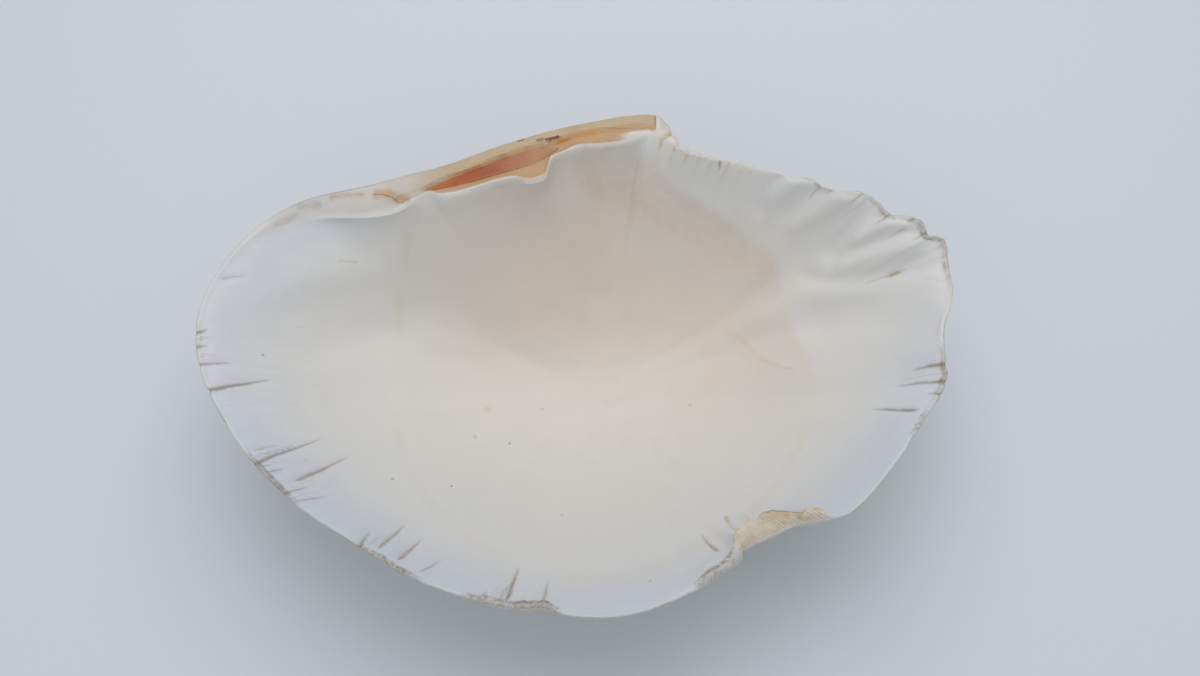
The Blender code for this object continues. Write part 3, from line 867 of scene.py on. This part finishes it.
def valveFields(points, loop, rim, outerFields, lipDepth, outs, slitsInside, scar):
    # What the material reads at each point, 0 where nothing is said. A value of the rim is kept whole over
    # the lip and fades over the first rings of the inside.
    slitNames = ("slitSide", "slitWidth", "slitDark", "slitBrown")
    fields = {name: np.zeros(len(points)) for name in (
        "outside", "growthRow", "course", "hollow", "lipDepth", "lipInner", "hinge", "worn", "broken",
        "byssal", "toothGap", *slitNames, "pallial",
    )}
    count, belts, total = len(loop), len(lipDepth) + len(outs), len(points) - 1
    first = total - belts * count
    inFrom = first + len(lipDepth) * count
    fields["outside"][:first] = 1
    for name, values in outerFields.items():
        fields[name][:first] = values.ravel()
    fields["lipDepth"][first:inFrom] = lipDepth[::-1].ravel()
    fields["lipDepth"][inFrom:total] = np.tile(rim.width, len(outs)) + np.repeat(1 - outs, count) * 150
    fields["lipInner"][first:total] = np.tile(rim.width, belts) - fields["lipDepth"][first:total]
    fields["lipInner"][loop] = rim.width

    byTeeth = 1 - smoothStep(0, 0.12, 1 - outs)
    for name, atRim, kept in (
        ("hinge", np.interp(rim.degrees, *np.array(hingeTint).T), np.ones(len(outs))),
        ("worn", rim.rubbed, 1 - smoothStep(0, 0.014, 1 - outs)),
        ("broken", rim.broken, outs > 0.995),
        ("byssal", rim.toothed, byTeeth),
        ("toothGap", rim.toothed * smoothStep(0.1, 0.9, -rim.wave), byTeeth**3),
    ):
        share = np.concatenate([np.ones(len(lipDepth)), kept])
        fields[name][first:total] = (share[:, None] * atRim[None]).ravel()
        fields[name][loop] = atRim
    edgeRows = smoothStep(0.965, 0.99, outerFields["growthRow"])
    fields["broken"][:first] = (chip(marginCourse()[0])[:, None] * edgeRows).ravel()

    slitsOnLip, _ = slitFields(points[first:inFrom, :2])
    for name, onLip, within in zip(slitNames, slitsOnLip, slitsInside):
        fields[name][first:inFrom] = onLip
        fields[name][inFrom:total] = within
    fields["pallial"][inFrom:total] = scar
    fields["pallial"][total] = -100
    return fields


def buildValve():
    # One closed surface: the outer fan, the lip between its edges, the rings of the inside, the lowest point.
    sheet, outerFields = outerSheet()
    cells, ranks = sheet.shape[0] - 1, sheet.shape[1] - 1
    index = np.arange((cells + 1) * (ranks + 1)).reshape(cells + 1, ranks + 1)
    index[:, 0] = index[0, 0]
    loop = np.concatenate([index[0, :], index[1:, -1], index[-1, -2:0:-1]])
    points = sheet.reshape(-1, 3)
    rim = rimLines(points, loop, slice(ranks + 1, ranks + 1 + cells))
    lip, lipDepth = lipSheet(rim)
    rings, outs = insideRings(rim)
    inside, slitsInside, scar = insideSkin(rim, rings, outs)
    lowest = np.array([[*valveForm["bowlCentre"], valveForm["floorThickness"]]])
    points = np.concatenate([points, lip[::-1].reshape(-1, 3), inside, lowest])
    faces = valveFaces(index, loop, len(lip) + len(outs))
    fields = valveFields(points, loop, rim, outerFields, lipDepth, outs, slitsInside, scar)
    return insideBox(points), faces, fields, rim


def insideBox(points):
    # From the form's own zero to the part's, kept inside the CAD box.
    return np.clip(points + formShift(), np.array(cadLow) / mm, np.array(cadHigh) / mm)


def formShift():
    # From the form's own zero to the part's: the outline's box is centred, and its crest meets the CAD's top.
    outline = margin(np.linspace(0, 360, 3601))
    middle = (outline.min(0) + outline.max(0)) / 2
    top = valveForm["rimHeight"] + valveForm["crestHeight"]
    return np.array([-middle[0], -middle[1], cadHigh.z / mm - top])


shellTones = {
    "plain": (229, 227, 223),
    # Painted reflection of a blue surround on the margins.
    "paintedBlueReflection": (222, 226, 233),
    # Painted shade, bluish, towards the front of the bowl.
    "paintedBlueShade": (200, 207, 219),
    "cream": (232, 227, 217),
    # A tan that also paints shade below the hinge and the beak.
    "shade": (216, 202, 180),
    "ochre": (212, 192, 152),
    "band": (208, 184, 150),
    "bandDark": (180, 146, 108),
    "bandLeft": (196, 191, 176),
    "tan": (200, 162, 120),
    "glow": (210, 146, 88),
    "gold": (216, 150, 74),
    "umber": (112, 76, 52),
    "facet": (192, 192, 194),
    "byssal": (228, 218, 190),
    "toothGap": (184, 158, 110),
    "worn": (134, 122, 106),
    "wornPale": (196, 194, 190),
    "rimEdge": (160, 145, 122),
    "broken": (228, 218, 200),
    "brokenTan": (196, 160, 116),
    "slit": (124, 110, 88),
    "slitBrown": (162, 130, 86),
    "outer": (218, 210, 196),
    "outerDirt": (158, 142, 118),
}
# How strongly tones are laid on, 0 to 1.
shellStrengths = {
    # Painted reflection of a blue surround on the margins.
    "paintedBlueReflection": 0.85,
    # The next two are painted shade towards the front, near the rim and over the bowl.
    "paintedBlueShade": 0.6,
    "front": 0.3,
    "streak": 0.14,
    # Painted shade below the hinge, mixed with the shell's own tan tint.
    "tanAndShade": 0.64,
    "cloudy": 0.2,
    "scarLine": 0.16,
    "speck": 0.48,
    "byssal": 0.5,
    "toothGap": 0.8,
    "worn": 0.75,
    "wornStart": 0.8,
    "rimEdge": 0.58,
    "hinge": 0.95,
    # The next two paint the slits' soft brown sides and dark cores, the cores as painted shade.
    "slitSide": 0.34,
    "slitCore": 0.64,
    "dirt": 0.7,
}
# Noises, coarse to fine: size in metres, detail, roughness.
shellNoises = {
    "blot": (0.06, 4.0, 0.55),
    "mottle": (0.014, 5.0, 0.6),
    "smear": (0.004, 3.0, 0.6),
    "grain": (0.0016, 4.0, 0.65),
}
# Small marks seen inside: place from the part's middle in millimetres, radius, tone.
specks = (
    (-48.4, -5.6, 2.6, "ochre"), (-53.6, -21.4, 1.6, "ochre"), (-20.2, -3.4, 1.4, "ochre"),
    (56.8, -2.4, 1.6, "ochre"), (-36, -24.2, 1.1, "slit"), (-90, -51.5, 1.0, "slit"),
    (-153, 3.5, 0.9, "slit"), (171, 0, 0.9, "slit"), (32.3, -107.9, 0.8, "slit"),
    (-62.2, -52.7, 0.8, "slit"), (-8.5, -65, 0.8, "slit"), (171.5, -2.5, 0.7, "slit"),
)
# Strokes of colour: line seen from above, about the folds' meeting point, half width, tone, how strong.
strokes = (
    (((-76, 92), (-64, 97.5), (-49, 103.8), (-34, 109.5)), 2.8, "glow", 0.45),
    (((-21, 113), (-13, 115.9), (-4, 118)), 2.1, "gold", 1.0),
    (((-6, 117.8), (3, 119), (12, 119.7)), 1.1, "gold", 0.8),
    (((-26, 113.4), (-13.5, 117.6), (-0.4, 120.2), (12, 120.8), (26, 120.4)), 0.5, "bandDark", 0.9),
    (((-32, 112.9), (-29.5, 113.5)), 0.9, "umber", 0.8),
    (((-27.5, 113.4), (-21.5, 115.2)), 1.1, "umber", 0.95),
    (((-41.5, 112.9), (-39.5, 113.6)), 1.1, "umber", 0.9),
    (((-111, 82.6), (-105, 82.6), (-97, 80.2)), 3.9, "tan", 0.85),
    (((-100, 79.8), (-95.5, 79.4)), 3.2, "bandDark", 0.85),
    (((-112.8, 82.8), (-107.8, 82.4), (-103.4, 81), (-100, 78.6), (-96.8, 77.3)), 0.5, "umber", 0.6),
    (((-133, 81.4), (-126, 82.6), (-118, 83)), 2.0, "bandDark", 0.5),
    (((-148, 76.2), (-139.5, 77.6)), 2.6, "worn", 0.32),
    (((-160, 66), (-154, 69.5), (-150, 72.5)), 1.8, "worn", 0.2),
    (((27.3, 129), (27.2, 120)), 0.55, "umber", 0.7),
    (((31.5, 128), (31.5, 120)), 3.6, "facet", 0.8),
    (((146.5, 47.9), (143.8, 47.6)), 1.4, "brokenTan", 0.6),
    (((150, 48.6), (133, 47)), 0.6, "brokenTan", 0.3),
    (((59, -74), (58.5, -71)), 1.5, "brokenTan", 0.8),
    (((-131, 56.5), (-123, 57.5)), 0.7, "ochre", 0.5),
    (((66, 36), (73, 33), (84, 19)), 3.0, "ochre", 0.3),
    (((83, 19), (92, 13), (103, 9.3)), 1.6, "ochre", 0.4),
    # The last two strokes are painted shade below the beak.
    (((-5, 96), (20, 94), (50, 82), (80, 66)), 14.0, "shade", 0.35),
    (((-4, 104), (14, 101), (30, 92)), 12.0, "shade", 0.5),
)


def readSkin(wire):
    # What the shell's colours are worked out from: the place seen from above, noises, and the mesh's fields.
    shift = formShift()
    skin = SimpleNamespace(where=wire.place())
    skin.tone = {name: paint(*value) for name, value in shellTones.items()}
    toPlan = {0: skin.where, 1: (1 / mm, 1 / mm, 0), 2: (-shift[0], -shift[1], 0)}
    skin.plan = wire.vector("MULTIPLY_ADD", toPlan)
    skin.x = wire.node("ShaderNodeSeparateXYZ", None, {"Vector": skin.plan}, out="X")
    skin.y = wire.node("ShaderNodeSeparateXYZ", None, {"Vector": skin.plan}, out="Y")
    for name, (size, detail, roughness) in shellNoises.items():
        setattr(skin, name, wire.cloud(skin.where, size, detail, roughness))
    skin.depth = wire.attribute("lipDepth")
    skin.inner = wire.attribute("lipInner")
    return skin


def bowlColour(wire, skin):
    # Bluish margins, painted reflection of a blue surround, with painted shade deepening towards the front;
    # cream in the bowl; tan and painted shade up to the pallial line below the hinge.
    tone, much = skin.tone, shellStrengths
    blot, mottle, smear = skin.blot - 0.5, skin.mottle - 0.5, skin.smear - 0.5
    pallial = wire.attribute("pallial")
    creamy = (pallial + blot * 90).rise(44.0, -60.0)
    blueReflectionZone = (skin.depth + blot * 30).rise(42.0, 2.0)
    upperRight = skin.x.rise(60.0, 120.0) * skin.y.rise(-20.0, 40.0)
    # painted reflection of a blue surround near the rim
    colour = (blueReflectionZone * (much["paintedBlueReflection"] - 0.6 * upperRight)).over(tone["plain"], tone["paintedBlueReflection"])
    # painted shade with a bluish reflection, near the rim towards the front
    colour = (blueReflectionZone * skin.y.rise(10.0, -100.0) * much["paintedBlueShade"]).over(colour, tone["paintedBlueShade"])
    colour = creamy.over(colour, tone["cream"])
    # painted shade: darker towards the open front
    colour = (skin.y.rise(25.0, -95.0) * much["front"]).over(colour, tone["paintedBlueShade"])

    # faint streaks that run from under the hinge to the margin
    meeting = wire.node("ShaderNodeCombineXYZ", None, {"Y": 95 - 80 * skin.x.rise(-40.0, 100.0)})
    away = wire.vector("SUBTRACT", {0: skin.plan, 1: meeting})
    distance = wire.vector("LENGTH", {0: away}, "Value")
    lengthwise = wire.node("ShaderNodeCombineXYZ", None, {"Z": distance / 16})
    bearing = wire.vector("NORMALIZE", {0: away})
    fan = wire.vector("MULTIPLY_ADD", {0: bearing, 1: (120, 120, 0), 2: lengthwise})
    streak = wire.cloud(fan, 1.0, 4.0, 0.7)
    streaked = pallial.rise(5.0, 50.0) * skin.mottle.rise(0.3, 0.65)
    colour = (streak.rise(0.5, 0.8) * streaked * much["streak"]).over(colour, tone["worn"])

    # the tan part below the hinge, partly the shell's own tint and partly painted shade, with a crisper
    # border to the right
    blurred = (pallial + mottle * 20).rise(22.0, -55.0)
    crisp = (pallial + smear * 4 + mottle * 5).rise(2.0, -4.0)
    border = blurred + (crisp - blurred) * skin.x.rise(10.0, 60.0) * 0.45
    tanAndShade = (skin.y + blot * 70 + skin.x.rise(20.0, 110.0) * 25).rise(-35.0, 105.0) * border
    tanAndShade = tanAndShade * (0.55 + 0.45 * skin.x.rise(-120.0, -30.0))
    colour = (tanAndShade * much["tanAndShade"]).over(colour, tone["shade"])
    colour = ((mottle * 1.6 + blot).rise(0.05, 0.75) * much["cloudy"] * creamy).over(colour, tone["ochre"])
    line = abs(pallial + smear * 5).rise(4.0, 0.4) * skin.blot.rise(0.42, 0.62)
    return (line * much["scarLine"]).over(colour, tone["ochre"]), streak * streaked


def addSpecks(wire, skin, colour):
    flat = wire.vector("MULTIPLY", {0: skin.where, 1: (1, 1, 0)})
    for x, y, radius, name in specks:
        gap = wire.vector("DISTANCE", {0: flat, 1: (x * mm, y * mm, 0)}, "Value")
        mark = ((gap / mm) + (skin.smear - 0.5) * 1.6 * radius).rise(radius, radius * 0.45)
        colour = (mark * shellStrengths["speck"]).over(colour, skin.tone[name])
    return colour


def rimColour(wire, skin, colour):
    # Cream byssal teeth, darker tan between them, worn lobes, pale with grey patches where the wear begins,
    # and a thin brownish-grey line along the edge.
    tone, much, smear = skin.tone, shellStrengths, skin.smear - 0.5
    byssal = wire.attribute("byssal") * skin.mottle.rise(0.25, 0.7)
    colour = (byssal * much["byssal"]).over(colour, tone["byssal"])
    toothGap = wire.attribute("toothGap") * skin.mottle.rise(0.3, 0.6)
    colour = (toothGap * much["toothGap"]).over(colour, tone["toothGap"])
    worn = wire.attribute("worn")
    rubbed = (worn + smear * 0.6).rise(0.15, 0.6)
    wornTone = (skin.grain.rise(0.4, 0.6) * 0.6).over(tone["wornPale"], tone["worn"])
    colour = (rubbed * much["worn"]).over(colour, wornTone)
    patchy = (skin.grain * 0.5 + skin.mottle * 0.6).rise(0.42, 0.66)
    start = abs(skin.inner + smear * 3.2 - 0.3).rise(1.2, 0.1) * rubbed * worn * patchy
    colour = (start * much["wornStart"]).over(colour, tone["worn"])
    edge = (skin.depth + smear * 1.4).rise(0.8, 0.1) * skin.inner.rise(0.2, 0.6)
    edge = edge * skin.mottle.rise(0.38, 0.62)
    cleaner = skin.x.rise(-105.0, -150.0) * skin.y.rise(-45.0, 20.0)
    colour = (edge * (much["rimEdge"] - 0.4 * cleaner)).over(colour, tone["rimEdge"])
    return colour, rubbed


def chipColour(wire, skin, colour):
    # The broken fold: cream and tan in fine layers, with pale grains and a grey outline.
    tone, smear, mottle = skin.tone, skin.smear, skin.mottle
    chipFace = wire.attribute("broken").rise(0.05, 0.35)
    run = wire.vector("DOT_PRODUCT", {0: skin.plan, 1: (0.55, 0.84, 0.0)}, "Value")
    layers = (run * 5.6 + (smear - 0.5) * 8).sine()
    face = (mottle.rise(0.45, 0.62) * 0.5).over(tone["broken"], tone["brokenTan"])
    face = ((layers * 0.5 + 0.5) * smear.rise(0.3, 0.6) * 0.35).over(face, tone["brokenTan"])
    face = (skin.grain.rise(0.5, 0.62) * smear.rise(0.35, 0.6) * 0.5).over(face, tone["plain"])
    outline = abs(skin.inner + (smear - 0.5) * 1.6 - 0.3).rise(0.7, 0.1)
    face = (outline * mottle.rise(0.4, 0.6) * 0.6).over(face, tone["worn"])
    # painted bluish reflection along the broken face's outer edge
    face = (skin.depth.rise(1.2, 0.4) * 0.5).over(face, tone["paintedBlueReflection"])
    return chipFace.over(colour, face), chipFace, layers


def hingeColour(wire, skin, colour):
    # The hinge plate: a beige band with growth lines and a tan floor, which end before the white beak.
    tone, depth, smear = skin.tone, skin.depth, skin.smear - 0.5
    hinge = wire.attribute("hinge")
    whiteBeak = (skin.x + smear * 6).rise(7.0, 16.0) * (depth + smear * 1.5).rise(9.0, 10.6)
    onPlate = (skin.inner + smear * 1.6).rise(1.5, 3.4) * (hinge + smear * 0.3).most(0.0).least(1.0)
    onPlate = onPlate * (1 - whiteBeak) * skin.x.rise(28.4, 27.4)
    layered = (depth * 4.6 + (skin.mottle - 0.5) * 9).sine()
    dark = (layered * 0.5 + 0.5) * 0.3 + skin.mottle.rise(0.45, 0.7) * 0.3
    band = dark.over(tone["band"], tone["bandDark"])
    band = depth.rise(5.2, 8.2).over(band, tone["tan"])
    band = (skin.x.rise(-62.0, -104.0) * 0.75).over(band, tone["bandLeft"])
    return (onPlate * shellStrengths["hinge"]).over(colour, band), onPlate, layered


def addStrokes(wire, skin, colour):
    # Strokes of colour with ragged edges; a thin one keeps a full core.
    for line, half, name, much in strokes:
        ragged = (skin.smear - 0.5) * min(4.0, 2.6 * half) + (skin.mottle - 0.5) * 2.2 * half
        full = half * 0.35 if half < 1.2 else 0.0
        mark = (wire.gap(skin.plan, line) + ragged).rise(half, full)
        colour = (mark * (0.5 + skin.smear.rise(0.35, 0.6) * 0.5) * much).over(colour, skin.tone[name])
    return colour


def slitColour(wire, skin, colour):
    # Slits: broken dark cores, painted shade in cracks finer than the mesh, with soft brown sides.
    width = wire.attribute("slitWidth")
    core = width * (0.4 + skin.smear * 1.2) - abs(wire.attribute("slitSide") + (skin.smear - 0.5) * 0.9)
    here = width.rise(0.02, 0.25) * wire.attribute("slitDark")
    tone = wire.attribute("slitBrown").over(skin.tone["slit"], skin.tone["slitBrown"])
    dark = core.rise(-0.2, 0.7) * here * skin.mottle.rise(0.2, 0.55)
    colour = (core.rise(-1.1, 0.5) * here * shellStrengths["slitSide"]).over(colour, tone)
    return (dark * shellStrengths["slitCore"]).over(colour, tone), dark


def outsideColour(wire, skin):
    # Outside: chalky, with threads along the ribs, growth lines across them, and dirt in the hollows.
    tone, smear, blot = skin.tone, skin.smear - 0.5, skin.blot - 0.5
    thread = (wire.attribute("course") * 1100 + smear * 5).sine()
    stripe = (wire.attribute("growthRow") * 420 + blot * 40 + smear * 4).sine()
    dirt = wire.attribute("hollow") * -0.6 + (skin.mottle - 0.5) * 2.6 + blot * 2.2
    dirt = dirt + stripe * 0.12 + thread * 0.1
    outer = (dirt.rise(-0.2, 1.4) * shellStrengths["dirt"]).over(tone["outer"], tone["outerDirt"])
    return (skin.blot.rise(0.5, 0.75) * 0.35).over(outer, tone["byssal"]), stripe * 0.3 + thread * 0.25


def valveMaterial():
    material, wire, shader = newMaterial("shellSurface")
    skin = readSkin(wire)
    colour, streaks = bowlColour(wire, skin)
    colour = addSpecks(wire, skin, colour)
    colour, rubbed = rimColour(wire, skin, colour)
    colour, chipFace, layers = chipColour(wire, skin, colour)
    colour, onPlate, layered = hingeColour(wire, skin, colour)
    colour = addStrokes(wire, skin, colour)
    colour, dark = slitColour(wire, skin, colour)
    outer, threads = outsideColour(wire, skin)
    isOutside = wire.attribute("outside").rise(0.4, 0.9) * (1 - chipFace)
    colour = isOutside.over(colour, outer)

    rough = 0.38 + (skin.mottle - 0.5) * 0.16 + rubbed * 0.3 + chipFace * 0.35 + dark * 0.4 + onPlate * 0.2
    rough = (rough * (1 - isOutside) + isOutside * 0.82).least(0.95)
    grainy = 0.06 + rubbed * 0.45 + chipFace * 0.5 + isOutside * 0.7 + onPlate * 0.3
    relief = skin.grain * grainy + skin.mottle * (0.12 + isOutside * 0.8) - dark * 0.8
    relief = relief + layers * chipFace * 0.35 + layered * onPlate * 0.10
    relief = relief + threads * isOutside + streaks * (1 - isOutside) * 0.35
    bump = wire.node("ShaderNodeBump", None, {"Strength": 0.5, "Distance": 0.0006, "Height": relief})
    for name, value in (("Base Color", colour), ("Roughness", rough), ("Normal", bump)):
        wire.tree.links.new(value.socket, shader.inputs[name])
    shader.inputs["IOR"].default_value = 1.5
    shader.inputs["Specular IOR Level"].default_value = 0.42
    return material


# The ligament

ligamentForm = {
    "ends": (101.6, 134.2),
    "stations": 110,
    "ringPoints": 18,
    "rise": 1.6,
    "gap": 0.12,
    # how high it stands, over its length from the front end to the tip at the back
    "fullness": ((0, 0.08), (0.12, 0.45), (0.28, 0.9), (0.5, 1.0), (0.8, 0.8), (0.94, 0.5), (1, 0.1)),
    "tones": (
        (0, (202, 162, 122)), (0.16, (200, 150, 114)), (0.34, (194, 130, 98)), (0.56, (180, 102, 68)),
        (0.78, (194, 102, 56)), (0.92, (220, 132, 70)), (1, (226, 164, 104)),
    ),
}


def buildLigament(rim):
    # A lens in the groove: at each station across the hinge plate a closed ring between the groove's sides,
    # its top a low arch h sin(pi t)^0.45 and its underside just over the groove's floor.
    form = ligamentForm
    start, end = form["ends"]
    degrees = rim.degrees
    on = np.flatnonzero((degrees > 95) & (degrees < 140) & (np.arange(len(degrees)) < len(degrees) / 2))
    on = on[np.argsort(degrees[on])]
    angles = np.linspace(start, end, form["stations"])
    lines = np.concatenate([rim.edge, rim.innerEdge, rim.width[:, None]], 1)[on]
    lines = np.stack([np.interp(angles, degrees[on], line) for line in lines.T], -1)
    edge, inner, wide = lines[:, :3], lines[:, 3:6], lines[:, 6]
    along = (angles - start) / (end - start)
    full = np.interp(along, *np.array(form["fullness"]).T)
    outer = closedCurve(valveForm["grooveOuter"], angles) + form["gap"]
    far = closedCurve(valveForm["grooveInner"], angles) - form["gap"]
    close = np.maximum(0.3, (far - outer)) * np.minimum(1, full * 1.6)
    middle = (outer + far) / 2
    half = form["ringPoints"] // 2
    t = np.linspace(0, 1, half)[None]
    depth = (middle - close / 2)[:, None] + close[:, None] * t
    part = 1 - depth / wide[:, None]
    line = inner[:, None] + (edge - inner)[:, None] * part[..., None]
    floor = lipHeight(depth, wide[:, None], angles[:, None])
    low = floor.min(1, keepdims=True) + form["gap"] * 0.5
    arch = form["rise"] * full[:, None] * np.sin(np.pi * np.clip(t * 0.96 + 0.02, 0, 1)) ** 0.45
    top = line.copy()
    top[..., 2] += low + 0.35 + arch
    grain = np.sin(depth * 5.5 + 2 * np.sin(along * 9)[:, None]) * 0.05
    top[..., 2] += grain * np.sin(np.pi * t)
    under = line.copy()
    under[..., 2] += low
    ring = np.concatenate([top, under[:, ::-1]], 1)
    stations, around = ring.shape[:2]
    base = np.arange(stations - 1)[:, None] * around
    k = np.arange(around)[None]
    n = (k + 1) % around
    sides = np.stack([base + k, base + around + k, base + around + n, base + n], -1).reshape(-1, 4)
    caps = [np.arange(around)[None], (np.arange(around)[::-1] + (stations - 1) * around)[None]]
    lengthwise = np.repeat(along, around)
    across = np.tile(np.concatenate([t[0], t[0][::-1]]), stations)
    return insideBox(ring.reshape(-1, 3)), [sides, *caps], {"along": lengthwise, "across": across}


def ligamentMaterial():
    material, wire, shader = newMaterial("driedLigament")
    where = wire.place()
    along = wire.attribute("along")
    across = wire.attribute("across")
    smear = wire.cloud(where, 0.006, 4.0, 0.6)
    fibre = (across * 60 + (smear - 0.5) * 14).sine()
    stops = [(place, paint(*tone)) for place, tone in ligamentForm["tones"]]
    tones = wire.node("ShaderNodeValToRGB", {"stops": stops}, {"Fac": along + (smear - 0.5) * 0.25})
    colour = ((fibre * 0.5 + 0.5) * 0.22).over(tones, paint(112, 54, 34))
    colour = (across.rise(0.75, 1.0) * 0.5).over(colour, paint(206, 150, 96))
    relief = fibre * 0.4 + smear
    bump = wire.node("ShaderNodeBump", None, {"Strength": 0.4, "Distance": 0.0004, "Height": relief})
    for name, value in (("Base Color", colour), ("Roughness", 0.42 + smear * 0.25), ("Normal", bump)):
        wire.tree.links.new(value.socket, shader.inputs[name])
    shader.inputs["IOR"].default_value = 1.5
    return material


makeStage()
points, faces, fields, rim = buildValve()
valvePiece = newPiece("valveShell", points, faces, fields, valveMaterial(), 55)
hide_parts("valve")
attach(valvePiece, "root")

points, faces, fields = buildLigament(rim)
ligamentPiece = newPiece("ligamentRemnant", points, faces, fields, ligamentMaterial(), 50)
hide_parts("ligament")
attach(ligamentPiece, "root")
